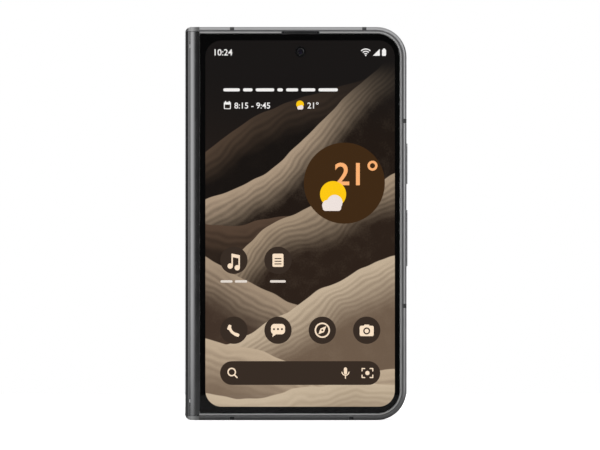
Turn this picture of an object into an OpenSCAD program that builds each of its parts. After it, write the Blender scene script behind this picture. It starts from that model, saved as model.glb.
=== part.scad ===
// A book-style folding phone, folded shut and standing on its bottom edge.
// X runs from the spine to the free edge, Y from the cover display to the back, Z is up.
// Pieces are drawn from the spine's back (x = 0), the fold plane (y = 0) and the bottom (z = 0).
// In a half, u is the distance from the fold plane towards that half's glass.

/* [Body] */
// Height of the phone
body_h = 139.7; // [134:0.1:146]
// Width of the folded phone, without its keys
body_w = 78.7; // [76:0.1:82]
// Thickness of each half
half_t = 5.8; // [5.7:0.05:6.3]
// Gap between the two inner faces when folded
fold_gap = 0.5; // [0.4:0.05:0.6]
// Radius of the free corners, seen from the front
corner_r = 10.6; // [9:0.1:12]

/* [Frame] */
// Thickness of the side walls
wall_t = 3.2; // [3.0:0.1:3.4]
// Radius of the band's outer edge
edge_r = 1.2; // [0.8:0.1:1.25]
// Radius of the edge towards the fold plane
inner_edge_r = 0.5; // [0.3:0.05:0.6]
// Step from the glass down to the band
band_drop = 0.25; // [0.15:0.05:0.3]
// Distance of the groove from the outer side
groove_in = 1.3; // [1.3:0.05:1.4]
// Width of the groove beside the glass rim
groove_w = 0.3; // [0.2:0.05:0.35]
// Depth of the groove
groove_d = 0.3; // [0.2:0.02:0.3]
// Width of the bright rim round the glass
rim_w = 0.7; // [0.5:0.05:0.75]
// Thickness of the floor plate between the inner display and the bay
floor_t = 0.55; // [0.4:0.05:0.7]
// Width of each antenna break in the band
antenna_w = 1.5; // [1:0.1:2]
// Depth of each antenna break
antenna_d = 1.2; // [0.8:0.05:1.25]
// Height of the outer antenna breaks above the bottom
antenna_z = [40.6, 106.3];
// Distance of the antenna break from the spine's back, at the hinge side
antenna_left_x = 16.7; // [14:0.1:19]
// Distance of the top antenna break from the free edge
antenna_top_in = 15; // [14:0.1:18]
// Distance of the bottom antenna break from the free edge
antenna_bottom_in = 19.6; // [17:0.1:21]

/* [Glass and displays] */
// Thickness of the cover glass and the back glass
glass_t = 0.6; // [0.5:0.05:0.65]
// Gap between the glass and the rim round it
glass_gap = 0.15; // [0.1:0.05:0.2]
// Thickness of the cover display
cover_display_t = 0.7; // [0.5:0.05:0.8]
// Thickness of the inner display
inner_display_t = 0.45; // [0.35:0.05:0.5]
// Thickness of the inner display where it bends
bend_t = 0.3; // [0.2:0.05:0.35]
// Middle radius of the folded display's drop
bend_r = 1.6; // [1.4:0.05:1.65]
// Width of the inner bezel along the free edge
bezel_w = 5.2; // [4.5:0.1:6]
// Height of the inner bezel at the top and the bottom
bezel_h = 8; // [7.8:0.1:9]
// Thickness of the inner bezel
bezel_t = 0.28; // [0.22:0.02:0.3]

/* [Hinge] */
// Width of the spine that shows beside the halves
spine_show = 1.75; // [1.6:0.05:1.9]
// Seam between the halves' outer skins when unfolded
seam = 0.3; // [0.2:0.05:0.4]
// Drop of the hinge strip from the glass to its free end
strip_drop = 0.75; // [0.6:0.05:0.8]
// Thickness of the hinge strip at its free end
skin_t = 0.5; // [0.45:0.05:0.55]
// Gap between the unfolded halves' skins and the spine
skin_gap = 0.15; // [0.1:0.05:0.2]
// Width of the hinge strip, from its free end to the glass
strip_w = 3.3; // [3:0.1:3.5]
// Height of the end trims and of the spine's end caps
cap_h = 1.5; // [1.2:0.1:1.6]
// Thickness of the spine cover
cover_t = 0.5; // [0.4:0.05:0.6]
// Corner radius of the spine's end caps, seen from the front
cap_r = 2; // [1.6:0.1:2.4]
// Radius of the hinge pins
pin_r = 0.5; // [0.4:0.05:0.55]
// Running clearance round pins and shafts
run_gap = 0.05; // [0.03:0.01:0.07]
// Outer radius of the hinge knuckles
knuckle_r = 0.95; // [0.85:0.05:0.95]
// Height of each knuckle along its pin
knuckle_h = 1.5; // [1.2:0.1:1.6]
// Pitch radius of the sync gears
gear_r = 0.85; // [0.84:0.01:0.86]
// Height of the sync gears
gear_h = 1.4; // [1:0.1:1.5]
// Radius of the idler shafts
shaft_r = 0.3; // [0.2:0.05:0.35]
// Thickness of the hinge brackets
bracket_t = 1.2; // [1:0.1:1.3]

/* [Keys] */
// Distance that the keys stand proud of the band
key_proud = 0.38; // [0.3:0.02:0.5]
// Width of the keys, across the band
key_w = 2.2; // [1.8:0.1:2.4]
// Length of the power key
power_l = 14.4; // [12:0.1:16]
// Height of the power key's middle above the bottom
power_z = 91.15; // [90:0.1:92]
// Length of the volume rocker
volume_l = 19.9; // [18:0.1:21]
// Height of the volume rocker's middle above the bottom
volume_z = 64.7; // [63:0.1:66]
// Travel of the power key
key_travel = 0.3; // [0.2:0.05:0.35]
// Clearance round the keys
key_gap = 0.12; // [0.1:0.02:0.2]

/* [Ports and sound] */
// Width of the charging port's mouth
port_w = 8.4; // [8:0.1:9]
// Height of the charging port's mouth
port_t = 2.5; // [2.3:0.1:2.6]
// Depth of the charging port
port_l = 7.4; // [6.5:0.1:8]
// Radius of the speaker and microphone holes
hole_r = 0.55; // [0.4:0.05:0.7]
// Length of the earpiece slot
ear_l = 13.6; // [12:0.1:15]
// Width of the earpiece slot
ear_w = 0.9; // [0.7:0.05:0.95]
// Width of the card tray's face
tray_w = 15; // [14:0.1:16]
// Thickness of the card tray's face
tray_t = 2.2; // [2:0.1:2.4]
// Length of the card tray
tray_l = 18; // [16:0.5:19]

/* [Cameras] */
// Distance that the camera bar stands proud of the back glass
bar_proud = 2.2; // [1.8:0.1:2.6]
// Distance of the camera bar from the spine's back
bar_hinge_in = 10.2; // [9.6:0.1:13]
// Height of the camera bar
bar_h = 20.5; // [18:0.5:22]
// Distance of the camera bar from the top
bar_top = 12.5; // [11:0.5:13.5]
// Distance of the camera bar from the free edge
bar_in = 6.5; // [6:0.1:8]
// Corner radius of the camera bar
bar_r = 7; // [5:0.5:8]
// Width of the camera bar's metal rim
bar_rim = 2.2; // [1.8:0.1:2.6]
// Radius of the main camera's lens barrel
main_lens_r = 5.2; // [4.5:0.1:5.6]
// Radius of the wide camera's lens barrel
wide_lens_r = 4.3; // [3.8:0.1:4.8]
// Side of the telephoto camera's square barrel
tele_side = 7.6; // [7:0.1:8.4]
// Distance of the flash from the camera bar's end
flash_in = 11.5; // [10:0.5:12.5]
// Radius of the flash
flash_r = 2; // [1.5:0.1:2.5]
// Radius of the cover camera's lens
cover_lens_r = 1.95; // [1.6:0.05:2.2]
// Distance of the cover camera from the top
cover_lens_top = 8.8; // [8.6:0.1:9.4]
// Radius of the inner camera's lens
inner_lens_r = 1.5; // [1.2:0.1:1.7]

/* [Inside] */
// Gap between the boards and the batteries beside them
battery_gap = 1; // [0.6:0.1:3]
// Height of the main board's wide part
cross_board_h = 38; // [36:0.5:40]
// Distance from the front battery to the top wall
front_battery_top = 16; // [14:0.5:20]
// Width of the boards beside the batteries
board_w = 10.5; // [9:0.5:11.5]
// Height of the shield cans
shield_h = 1.2; // [0.8:0.1:1.4]
// Radius of the charging coil
coil_r = 20; // [18:0.5:21]
// Radius of the charging coil's hole
coil_hole_r = 9; // [7:0.5:11]
// Thickness of the charging coil
coil_t = 0.35; // [0.25:0.05:0.45]
// Width of the loudspeaker
speaker_w = 20; // [16:0.5:22]
// Height of the loudspeaker
speaker_h = 16; // [12:0.5:17]
// Width of the vibration motor
motor_w = 11; // [9:0.5:12]
// Width of the earpiece speaker
earpiece_w = 12; // [10:0.5:14]
// Length of each holding magnet
magnet_l = 10; // [8:0.5:12]
// Thickness of the circuit boards
board_t = 0.6; // [0.5:0.05:0.8]
// Height of the screw posts under the boards
post_h = 1.2; // [1:0.1:1.4]
// Radius of the screw posts
post_r = 1.3; // [1.1:0.05:1.5]
// Radius of the screws' shanks
screw_r = 0.5; // [0.4:0.05:0.6]
// Radius of the screws' heads
screw_head_r = 0.95; // [0.8:0.05:1.1]
// Clearance round pieces in the bay
bay_gap = 0.1; // [0.05:0.01:0.15]

/* [Hidden] */
$fn = 64;

// Levels in a half, from the fold plane to the glass
inner_u = fold_gap / 2;
glass_u = inner_u + half_t;
band_u = glass_u - band_drop;
rim_u = glass_u - 0.05;
seat_u = glass_u - glass_t;
bezel_proud = 0.13;
bezel_u = inner_u - bezel_proud;
display_u = bezel_u + bezel_t;
floor_u = display_u + inner_display_t;
bay_u = floor_u + floor_t;
panel_u = seat_u - cover_display_t;
mid_u = (inner_u + glass_u) / 2;

// Insets from the free sides
rim_in = groove_in + groove_w;
seat_in = rim_in + rim_w;
glass_in = seat_in + glass_gap;
lip_in = inner_edge_r + 0.45;
bezel_in = lip_in + 0.05;
bezel_corner_r = 1;
inner_display_r = 5;

// Hinge: the two virtual axes, and where the halves end beside them
strip_end_u = glass_u - strip_drop;
skin_u = strip_end_u - skin_t;
axis_sum = skin_u - skin_gap;
axis_diff = spine_show - seam / 2;
axis_x = (axis_sum + axis_diff) / 2;
axis_y = (axis_sum - axis_diff) / 2;
spine_half = axis_x + axis_y;
end_gap = 0.2;
bar_x0 = spine_show + strip_w + 0.05;
wall_x0 = spine_half + axis_diff + end_gap;
panel_x0 = wall_x0 + 0.5;
hinge_wall_t = 0.7;
strip_x1 = spine_show + strip_w;
strip_top_u = glass_u - 0.08;
strip_edge_r = 0.3;
bezel_x0 = axis_diff + 3.15;
cap_half = 2.85;
tongue_half = 0.6;
beam_half = axis_y - 0.025;
backbone_t = 1.4;
bracket_half = cap_half - 0.1;
bracket_x0 = cover_t + 0.5;
flat_bezel_x = axis_sum - bezel_u;

// Stations along the spine, from each end
cap_z0 = 0.1;
pin_z0 = 0.6;
strip_gap = 0.15;
knuckle_z = cap_h + 0.25;
gear_z = knuckle_z + knuckle_h;
bracket_z = gear_z + gear_h + 0.3;
washer_z = bracket_z + bracket_t;
washer_t = 0.25;
pin_end_z = washer_z + 2 * washer_t + 0.1;
bend_z = pin_end_z + 0.45;
flat_top_x = axis_sum - display_u - 0.05;

// Hinge arms
arm_half = 0.8;
arm_u0 = axis_y - arm_half;
arm_u1 = axis_y + arm_half;
arm_bridge_x0 = axis_x + 2.1;
arm_bridge_x1 = panel_x0 - 0.15;
arm_z0 = wall_t + 0.2;
arm_z1 = bend_z - 0.3;
arm_l = 8;
arm_x1 = panel_x0 + arm_l;
arm_screw_in = 3;
arm_screw_pitch = 3.2;
arm_screw_x = panel_x0 + arm_screw_in;
arm_screw_z = (arm_z0 + arm_z1) / 2;
arm_screws = [[arm_screw_x, arm_screw_z], [arm_screw_x + arm_screw_pitch, arm_screw_z]];

// Sync gears
gear_teeth = 10;
gear_pitch_a = 360 / gear_teeth;
gear_tip_r = gear_r + 0.15;
gear_root_r = gear_r - 0.19;
idler_x = axis_x - sqrt(4 * gear_r * gear_r - (axis_y - gear_r) * (axis_y - gear_r));
idler_y = gear_r;

// Display bend: a drop between two reverse arcs
turn_r = 2;
bend_u = display_u + bend_t / 2;
bend_dx = sqrt((bend_r + turn_r) * (bend_r + turn_r) - (bend_u + turn_r) * (bend_u + turn_r));
bend_x = panel_x0 - 0.05 - bend_dx;

// Flexible cables round the display bend
flex_r = bend_r + 0.5;
flex_t = 0.15;
flex_w = 12;
flex_z = [46, 94];

// Cameras
bar_x1 = body_w - bar_in;
bar_w = bar_x1 - bar_hinge_in;
bar_z1 = body_h - bar_top;
bar_z0 = bar_z1 - bar_h;
lens_z = (bar_z0 + bar_z1) / 2;
main_x = bar_x1 - bar_rim - main_lens_r - 2.6;
flash_x = bar_hinge_in + flash_in;
lens_pitch = (main_x - flash_x) / 3;
wide_x = main_x - lens_pitch;
tele_x = wide_x - lens_pitch;
bar_u = glass_u + bar_proud;
bar_edge_r = 0.9;
window_u = bar_u - 0.1;
window_t = 0.5;
window_lap = 0.45;
window_in = bar_rim - window_lap;
camera_u = window_u - window_t;
camera_base_t = 2.6;
lens_recess = 0.4;
main_side = 2 * main_lens_r + 0.6;
wide_side = 2 * wide_lens_r + 1;
tele_corner_r = 1.2;
tele_window = [4.4, 3.6];
tele_prism = [6.2, 5];
tele_h = 10;
cover_lens_x = (panel_x0 + body_w - glass_in) / 2 - 0.6;
cover_lens_z = body_h - cover_lens_top;
inner_body = 5;
inner_lens_x = body_w - 13;
inner_lens_z = body_h - 5.5;

// Ports and keys
port_x = body_w / 2 + 1.7;
port_u = bay_u + port_t / 2 + 0.45;
port_wall = 0.35;
port_z0 = 0.15;
port_back_t = 0.6;
tongue = [6.7, 0.7];
tongue_z0 = 0.5;
hole_first = 9;
hole_pitch = 2.2;
tray_x = 33.5;
tray_u = mid_u;
tray_z0 = 0.05;
tray_face = 1;
tray_core = 0.8;
tray_half = tray_w / 2 - 1;
tray_gap = 0.15;
card_half = 5;
card_t = 0.8;
eject_hole_r = 0.45;
reader_z0 = wall_t + 1.5;
ear_x = cover_lens_x;
ear_z = body_h - (rim_in + seat_in) / 2 - 0.02;
ear_duct_u = mid_u + 0.8;
ear_notch = 0.3;
grille_t = 0.4;
grille_hole_r = 0.2;
grille_pitch = 0.7;
key_u = mid_u;
key_deep = 1.6;
key_pocket = key_deep + key_travel + 0.3;
plunger_r = 0.5;
switch_in = wall_t + key_travel + 0.2;
switch_t = 0.6;
rocker_pin_r = 0.35;
rocker_pin_out = 0.5;
rocker_pin_in = 1;
plunger_reach = 7;

// Boards and batteries
board_u = bay_u + post_h;
board_face_u = board_u + board_t;
board_x0 = panel_x0 + hinge_wall_t + 2;
board_x1 = board_x0 + board_w;
board_z0 = 22;
battery_x1 = body_w - wall_t - 3.6;
battery_x0 = board_x1 + battery_gap;
battery_corner_r = 1.5;
bay_top = body_h - wall_t;
cross_board_x1 = battery_x1 + 1.5;
cross_board_z1 = bay_top - 9.2;
cross_board_z0 = cross_board_z1 - cross_board_h;
rear_battery_z0 = 24;
rear_battery_z1 = cross_board_z0 - 3;
rear_battery_u1 = seat_u - 0.6;
front_battery_z0 = 30;
front_battery_z1 = bay_top - front_battery_top;
coil_x = (battery_x0 + battery_x1) / 2;
coil_z = (rear_battery_z0 + rear_battery_z1) / 2;
speaker_x0 = battery_x1 - speaker_w;
speaker_z0 = 5;
speaker_gap = 2.85;
motor_x0 = 50;
motor_z = [6, 14];
magnet_z = [44, 80];
magnet_w = 1.6;
magnet_t = 1.2;
shield_z = [32, 61];
shield_l = 27;
shield_in = 0.6;
chip_z = [34, 62, 90];
chip_t = 0.75;
chip_l = 14;
port_board_left = 11;
port_board_x1 = speaker_x0 - speaker_gap;
earpiece_in = 5;
earpiece_h = 7.7;

// Screws, and their posts as x and z
screw_head_t = 0.45;
post_bore_u = floor_u + 0.2;
post_x = board_x0 + post_r + 0.5;
rear_posts = [[post_x, bay_top - 8], [post_x, board_z0 + 4], [battery_x1 - 6, cross_board_z0 + 3]];
front_posts = [[post_x, bay_top - 12], [post_x, board_z0 + 4]];

// Overlap that joins two shapes, and how far a cut runs past its faces
lap = 0.1;
past = 1;

steel = [0.42, 0.42, 0.43];
dark_steel = [0.2, 0.2, 0.21];
black = [0.03, 0.03, 0.03];
glass_tint = [0.1, 0.11, 0.12];
pcb = [0.08, 0.2, 0.14];
foil = [0.12, 0.12, 0.13];
brass = [0.7, 0.55, 0.28];

// The frame that everything is drawn in: the origin is the middle of the whole phone's footprint
module placed() translate([-(body_w + key_proud) / 2, -bar_proud / 2, 0]) children();
module rear_side() placed() children();
module front_side() placed() mirror([0, 1, 0]) children();
module spine() placed() children();

// The same piece at the bottom end and, mirrored, at the top end
module both_ends() {
    children();
    translate([0, 0, body_h]) mirror([0, 0, 1]) children();
}

// An outline in X and Z, made into a plate between two levels
module plate(u0, u1) translate([0, u1, 0]) rotate([90, 0, 0]) linear_extrude(u1 - u0) children();

// A rod along u
module rod(x, z, r, u0, u1) translate([x, u0, z]) rotate([-90, 0, 0]) cylinder(r = r, h = u1 - u0);

// A box in x, u and z
module block(x0, x1, u0, u1, z0, z1) translate([x0, u0, z0]) cube([x1 - x0, u1 - u0, z1 - z0]);

// A rectangle whose free corners, on the right, are round
module right_round(x0, x1, z0, z1, r) {
    translate([x0, z0]) square([x1 - x0 - r, z1 - z0]);
    translate([x1 - r - 0.01, z0 + r]) square([r + 0.01, z1 - z0 - 2 * r]);
    for (z = [z0 + r, z1 - r]) translate([x1 - r, z]) circle(r);
}

// A rectangle with four round corners
module all_round(x0, x1, z0, z1, r) {
    translate([x0 + r, z0]) square([x1 - x0 - 2 * r, z1 - z0]);
    translate([x0, z0 + r]) square([x1 - x0, z1 - z0 - 2 * r]);
    for (x = [x0 + r, x1 - r], z = [z0 + r, z1 - r]) translate([x, z]) circle(r);
}

// A slot with half-round ends, along the first axis
module slot(length, width) {
    square([length - width, width], center = true);
    for (side = [-1, 1]) translate([side * (length - width) / 2, 0]) circle(width / 2);
}

// The corner that a round edge takes off
module corner_cut(r) difference() {
    translate([-1, 0]) square([r + 1, r + 1]);
    translate([r, 0]) circle(r);
}

// Sweeps a section, drawn as inset and level, round the three free sides of a half
module sweep_sides(x0) {
    translate([body_w, 0, corner_r]) mirror([1, 0, 0]) linear_extrude(body_h - 2 * corner_r) children();
    both_ends() {
        translate([body_w - corner_r, 0, 0]) rotate([0, -90, 0])
            linear_extrude(body_w - corner_r - x0) children();
        translate([body_w - corner_r, 0, corner_r]) rotate([-90, 0, 0]) rotate_extrude(angle = 90)
            translate([corner_r, 0]) mirror([1, 0]) children();
    }
}

// The frame's wall: lip, bezel seat, display pocket, glass seat, rim, groove and band
module wall_section() difference() {
    polygon([
        [0, inner_u], [lip_in, inner_u], [lip_in, display_u], [seat_in, display_u],
        [seat_in, floor_u], [wall_t, floor_u], [wall_t, seat_u], [seat_in, seat_u],
        [seat_in, rim_u - 0.1], [seat_in - 0.1, rim_u], [rim_in + 0.2, rim_u],
        [rim_in, rim_u - 0.2], [rim_in, band_u - groove_d], [groove_in, band_u - groove_d],
        [groove_in, band_u], [0, band_u]
    ]);
    translate([0, band_u - edge_r]) corner_cut(edge_r);
    translate([0, inner_u + inner_edge_r]) mirror([0, 1]) corner_cut(inner_edge_r);
}

// The places of a half's antenna breaks
module at_antenna_breaks() {
    for (z = antenna_z) translate([body_w, 0, z - antenna_w / 2]) mirror([1, 0, 0]) children();
    for (x = [antenna_left_x, body_w - antenna_bottom_in])
        translate([x + antenna_w / 2, 0, 0]) rotate([0, -90, 0]) children();
    translate([0, 0, body_h]) mirror([0, 0, 1]) for (x = [antenna_left_x, body_w - antenna_top_in])
        translate([x + antenna_w / 2, 0, 0]) rotate([0, -90, 0]) children();
}

module antenna_break_cut() translate([-past, 0, 0]) cube([antenna_d + past, glass_u + past, antenna_w]);

module antenna_breaks() at_antenna_breaks() linear_extrude(antenna_w) intersection() {
    wall_section();
    translate([-past, 0]) square([antenna_d + past, glass_u + past]);
}

// A half's frame: three swept sides, the floor, the wall beside the hinge and the screw posts
module half_frame(hinge_wall_u, posts) difference() {
    union() {
        sweep_sides(bar_x0) wall_section();
        plate(floor_u, bay_u) right_round(panel_x0, body_w - wall_t + lap, wall_t - lap,
            body_h - wall_t + lap, corner_r - wall_t + lap);
        block(panel_x0, panel_x0 + hinge_wall_t, floor_u, hinge_wall_u, wall_t - lap,
            body_h - wall_t + lap);
        for (p = posts) rod(p[0], p[1], post_r, bay_u - lap, board_u);
    }
    for (p = posts) rod(p[0], p[1], screw_r + run_gap, post_bore_u, board_u + past);
    at_antenna_breaks() antenna_break_cut();
    both_ends() {
        block(bar_x0 - past, wall_x0, 0, skin_u, -past, wall_t + past);
        block(panel_x0 - lap, panel_x0 + hinge_wall_t + lap, bay_u, arm_u1 + bay_gap,
            arm_z0 - bay_gap, arm_z1 + bay_gap);
        for (p = arm_screws) rod(p[0], p[1], screw_r + run_gap, floor_u - past, bay_u + past);
    }
}

// Strip beside the hinge: its skin curves from the glass to a thin free end
module strip_section(x1) {
    drop = strip_top_u - strip_end_u;
    bow_r = (strip_w * strip_w + drop * drop) / (2 * drop);
    difference() {
        intersection() {
            translate([spine_show, skin_u]) square([x1 - spine_show, strip_top_u - skin_u + lap]);
            translate([strip_x1, strip_top_u - bow_r]) circle(bow_r, $fn = 256);
        }
        translate([spine_show, strip_end_u - 0.9 * strip_edge_r]) corner_cut(strip_edge_r);
    }
}

module hinge_strip() {
    translate([0, 0, cap_h + strip_gap]) linear_extrude(body_h - 2 * cap_h - 2 * strip_gap)
        strip_section(strip_x1);
    block(strip_x1 - lap, panel_x0, skin_u, seat_u, wall_t, body_h - wall_t);
}

module hinge_trims() both_ends() linear_extrude(cap_h) {
    strip_section(strip_x1 - lap);
    translate([strip_x1 - 2 * lap, skin_u]) square([bar_x0 - strip_x1 + 2 * lap, seat_u - skin_u - lap]);
}

module glass_sheet() plate(seat_u, glass_u) right_round(bar_x0 + glass_gap, body_w - glass_in,
    glass_in, body_h - glass_in, corner_r - glass_in);

module inner_display() plate(display_u, floor_u) right_round(panel_x0, body_w - glass_in, bend_z,
    body_h - bend_z, inner_display_r);

module inner_bezel() {
    plate(bezel_u, display_u) difference() {
        right_round(bezel_x0, body_w - bezel_in, bezel_in, body_h - bezel_in, corner_r - bezel_in);
        right_round(bezel_x0 - past, body_w - bezel_w, bezel_h, body_h - bezel_h, bezel_corner_r);
    }
    both_ends() block(panel_x0, body_w - corner_r, display_u - lap, floor_u, glass_in, bend_z - 0.2);
}

// Hinge arms: a knuckle on the half's axis, a bridge beside it and a plate screwed to the floor
module hinge_arms() both_ends() difference() {
    union() {
        translate([axis_x, axis_y, knuckle_z]) cylinder(r = knuckle_r, h = knuckle_h);
        block(axis_x, wall_x0 - bay_gap, arm_u0, arm_u1, knuckle_z, knuckle_z + knuckle_h);
        block(arm_bridge_x0, wall_x0 - bay_gap, arm_u0, arm_u1, knuckle_z, arm_z1);
        block(arm_bridge_x0, arm_bridge_x1, arm_u0, arm_u1, arm_z0, arm_z1);
        block(arm_bridge_x1 - 0.1, arm_x1, bay_u, arm_u1, arm_z0, arm_z1);
    }
    translate([axis_x, axis_y, 0]) cylinder(r = pin_r + run_gap, h = bend_z);
    for (p = arm_screws) rod(p[0], p[1], screw_r + run_gap, 0, arm_u1 + past);
}

module screw(x, z, u0, u1) {
    rod(x, z, screw_r, u0, u1);
    rod(x, z, screw_head_r, u1, u1 + screw_head_t);
}

module half_screws(posts) {
    both_ends() for (p = arm_screws) screw(p[0], p[1], floor_u + run_gap, arm_u1);
    for (p = posts) screw(p[0], p[1], post_bore_u + run_gap, board_face_u);
}

// A tooth's phase on the next gear, when this gear turns with phase p and the next lies at angle a
function meshed(p, a) = 2 * a + 180 - p + gear_pitch_a / 2;
front_to_idler = atan2(axis_y - idler_y, idler_x - axis_x);
front_phase = front_to_idler;
front_idler_phase = meshed(front_phase, front_to_idler);
rear_idler_phase = meshed(front_idler_phase, 90);
rear_to_gear = atan2(axis_y - idler_y, axis_x - idler_x);
rear_phase = meshed(rear_idler_phase, rear_to_gear);

module gear(phase, bore) linear_extrude(gear_h) difference() {
    union() {
        circle(gear_root_r);
        for (i = [0 : gear_teeth - 1]) rotate(phase + i * gear_pitch_a) polygon([
            [gear_root_r - 0.1, -0.14], [gear_r, -0.1], [gear_tip_r, -0.05],
            [gear_tip_r, 0.05], [gear_r, 0.1], [gear_root_r - 0.1, 0.14]
        ]);
    }
    circle(bore);
}

module sync_gears(y, phase) both_ends() translate([axis_x, y, gear_z]) gear(phase, pin_r + run_gap);

module idler_gears(y, phase) both_ends() translate([idler_x, y, gear_z]) gear(phase, shaft_r + run_gap);

// Rear half

module rear_frame() color(steel) rear_side() difference() {
    half_frame(seat_u, rear_posts);
    key_pocket(power_z, power_l, [0]);
    key_pocket(volume_z, volume_l, [-plunger_reach, plunger_reach]);
    translate([body_w - rocker_pin_in, key_u - key_w / 2 - rocker_pin_out - lap, volume_z])
        rotate([-90, 0, 0])
            cylinder(r = rocker_pin_r + run_gap, h = key_w + 2 * rocker_pin_out + 2 * lap);
    translate([port_x, port_u, -past]) linear_extrude(wall_t + 2 * past)
        slot(port_w + 2 * port_wall + 2 * run_gap, port_t + 2 * port_wall + 2 * run_gap);
    for (side = [-1, 1], i = [0 : 4])
        translate([port_x + side * (hole_first + hole_pitch * i), mid_u, -past])
            cylinder(r = hole_r, h = wall_t + 2 * past);
    rod(inner_lens_x, inner_lens_z, inner_lens_r + bay_gap, 0, bay_u + past);
}

module key_pocket(z, length, plungers) {
    translate([body_w - key_pocket, key_u, z]) rotate([90, 0, 90]) linear_extrude(key_pocket + past)
        rotate(90) slot(length + 2 * key_gap, key_w + 2 * key_gap);
    for (dz = plungers) translate([body_w - wall_t - past, key_u, z + dz]) rotate([0, 90, 0])
        cylinder(r = plunger_r + key_gap, h = wall_t);
}

module rear_antenna_breaks() color(dark_steel) rear_side() antenna_breaks();

module rear_hinge_strip() color(steel) rear_side() hinge_strip();

module rear_hinge_trims() color(steel) rear_side() hinge_trims();

module back_glass() color(glass_tint) rear_side() difference() {
    glass_sheet();
    plate(seat_u - past, glass_u + past) all_round(bar_hinge_in + bar_rim, bar_x1 - bar_rim,
        bar_z0 + bar_rim, bar_z1 - bar_rim, bar_r - bar_rim);
}

// The camera bar's rim is a section swept round its window
module bar_section() difference() {
    translate([0, glass_u]) square([bar_rim, bar_proud]);
    translate([0, bar_u - bar_edge_r]) corner_cut(bar_edge_r);
    translate([bar_rim - window_lap - 0.05, window_u - window_t]) square([past, window_t + past]);
}

module sweep_bar() {
    long = bar_w - 2 * bar_r;
    tall = bar_h - 2 * bar_r;
    translate([bar_hinge_in + bar_w / 2, 0, bar_z0 + bar_h / 2]) for (side = [0, 1]) {
        mirror([side, 0, 0]) translate([bar_w / 2, 0, -tall / 2]) mirror([1, 0, 0])
            linear_extrude(tall) children();
        mirror([0, 0, side]) translate([long / 2, 0, -bar_h / 2]) rotate([0, -90, 0])
            linear_extrude(long) children();
        for (end = [0, 1]) mirror([side, 0, 0]) mirror([0, 0, end])
            translate([long / 2, 0, -tall / 2]) rotate([-90, 0, 0]) rotate_extrude(angle = 90)
                translate([bar_r, 0]) mirror([1, 0]) children();
    }
}

module camera_bar() color(steel) rear_side() sweep_bar() bar_section();

module camera_bar_glass() color(glass_tint) rear_side() plate(window_u - window_t, window_u)
    all_round(bar_hinge_in + window_in, bar_x1 - window_in, bar_z0 + window_in, bar_z1 - window_in,
        bar_r - window_in);

// A round camera: a square sensor block, a barrel and a lens recess in its face
module round_camera(x, z, r, u0, u1, side) difference() {
    union() {
        block(x - side / 2, x + side / 2, u0, u0 + camera_base_t, z - side / 2, z + side / 2);
        rod(x, z, r, u0 + camera_base_t - lap, u1);
    }
    rod(x, z, r / 2, u1 - lens_recess, u1 + past);
}

module main_camera() color(black) rear_side()
    round_camera(main_x, lens_z, main_lens_r, bay_u, camera_u, main_side);

module wide_camera() color(black) rear_side()
    round_camera(wide_x, lens_z, wide_lens_r, bay_u, camera_u, wide_side);

module telephoto_camera() color(black) rear_side() difference() {
    union() {
        block(tele_x - tele_prism[0], tele_x + tele_prism[1], bay_u, bay_u + camera_base_t,
            lens_z - tele_h / 2, lens_z + tele_h / 2);
        plate(bay_u + camera_base_t - lap, camera_u) all_round(tele_x - tele_side / 2,
            tele_x + tele_side / 2, lens_z - tele_side / 2, lens_z + tele_side / 2, tele_corner_r);
    }
    plate(camera_u - lens_recess, camera_u + past) all_round(tele_x - tele_window[0] / 2,
        tele_x + tele_window[0] / 2, lens_z - tele_window[1] / 2, lens_z + tele_window[1] / 2,
        tele_corner_r / 2);
}

module flash() color("ivory") rear_side() rod(flash_x, lens_z, flash_r, board_face_u, camera_u);

module rear_battery() color(foil) rear_side()
    plate(bay_u, rear_battery_u1) all_round(battery_x0, battery_x1, rear_battery_z0,
        rear_battery_z1, battery_corner_r);

module main_board() color(pcb) rear_side() difference() {
    union() {
        block(board_x0, cross_board_x1, board_u, board_face_u, cross_board_z0, cross_board_z1);
        block(board_x0, board_x1, board_u, board_face_u, board_z0, bay_top - 3);
    }
    for (p = rear_posts) rod(p[0], p[1], screw_r + bay_gap, board_u - past, board_face_u + past);
    camera_hole(main_x - main_side / 2, main_x + main_side / 2, main_side / 2);
    camera_hole(wide_x - wide_side / 2, wide_x + wide_side / 2, wide_side / 2);
    camera_hole(tele_x - tele_prism[0], tele_x + tele_prism[1], tele_h / 2);
}

module camera_hole(x0, x1, reach) block(x0 - bay_gap, x1 + bay_gap, board_u - past,
    board_face_u + past, lens_z - reach - bay_gap, lens_z + reach + bay_gap);

module board_shields() color("silver") rear_side() {
    for (z = shield_z) block(board_x0 + shield_in, board_x1 - shield_in, board_face_u,
        board_face_u + shield_h, z, z + shield_l);
    block(board_x1 + 3, board_x1 + 3 + shield_l, board_face_u, board_face_u + shield_h,
        cross_board_z0 + 2, cross_board_z0 + 2 + board_w);
}

module charging_coil() color(brass) rear_side()
    plate(rear_battery_u1, rear_battery_u1 + coil_t) translate([coil_x, coil_z]) difference() {
        circle(coil_r);
        circle(coil_hole_r);
    }

module charging_port() color("silver") rear_side() translate([port_x, port_u, port_z0]) {
    linear_extrude(port_l) difference() {
        slot(port_w + 2 * port_wall, port_t + 2 * port_wall);
        slot(port_w, port_t);
    }
    translate([0, 0, port_l - port_back_t]) linear_extrude(port_back_t)
        slot(port_w + lap, port_t + lap);
    translate([-tongue[0] / 2, -tongue[1] / 2, tongue_z0])
        cube([tongue[0], tongue[1], port_l - port_back_t]);
}

module port_board() color(pcb) rear_side()
    block(port_x - port_board_left, port_board_x1, port_u - board_t, port_u,
        port_z0 + port_l, board_z0);

module loudspeaker() color(black) rear_side()
    block(speaker_x0, battery_x1, bay_u, rear_battery_u1, speaker_z0, speaker_z0 + speaker_h);

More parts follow.
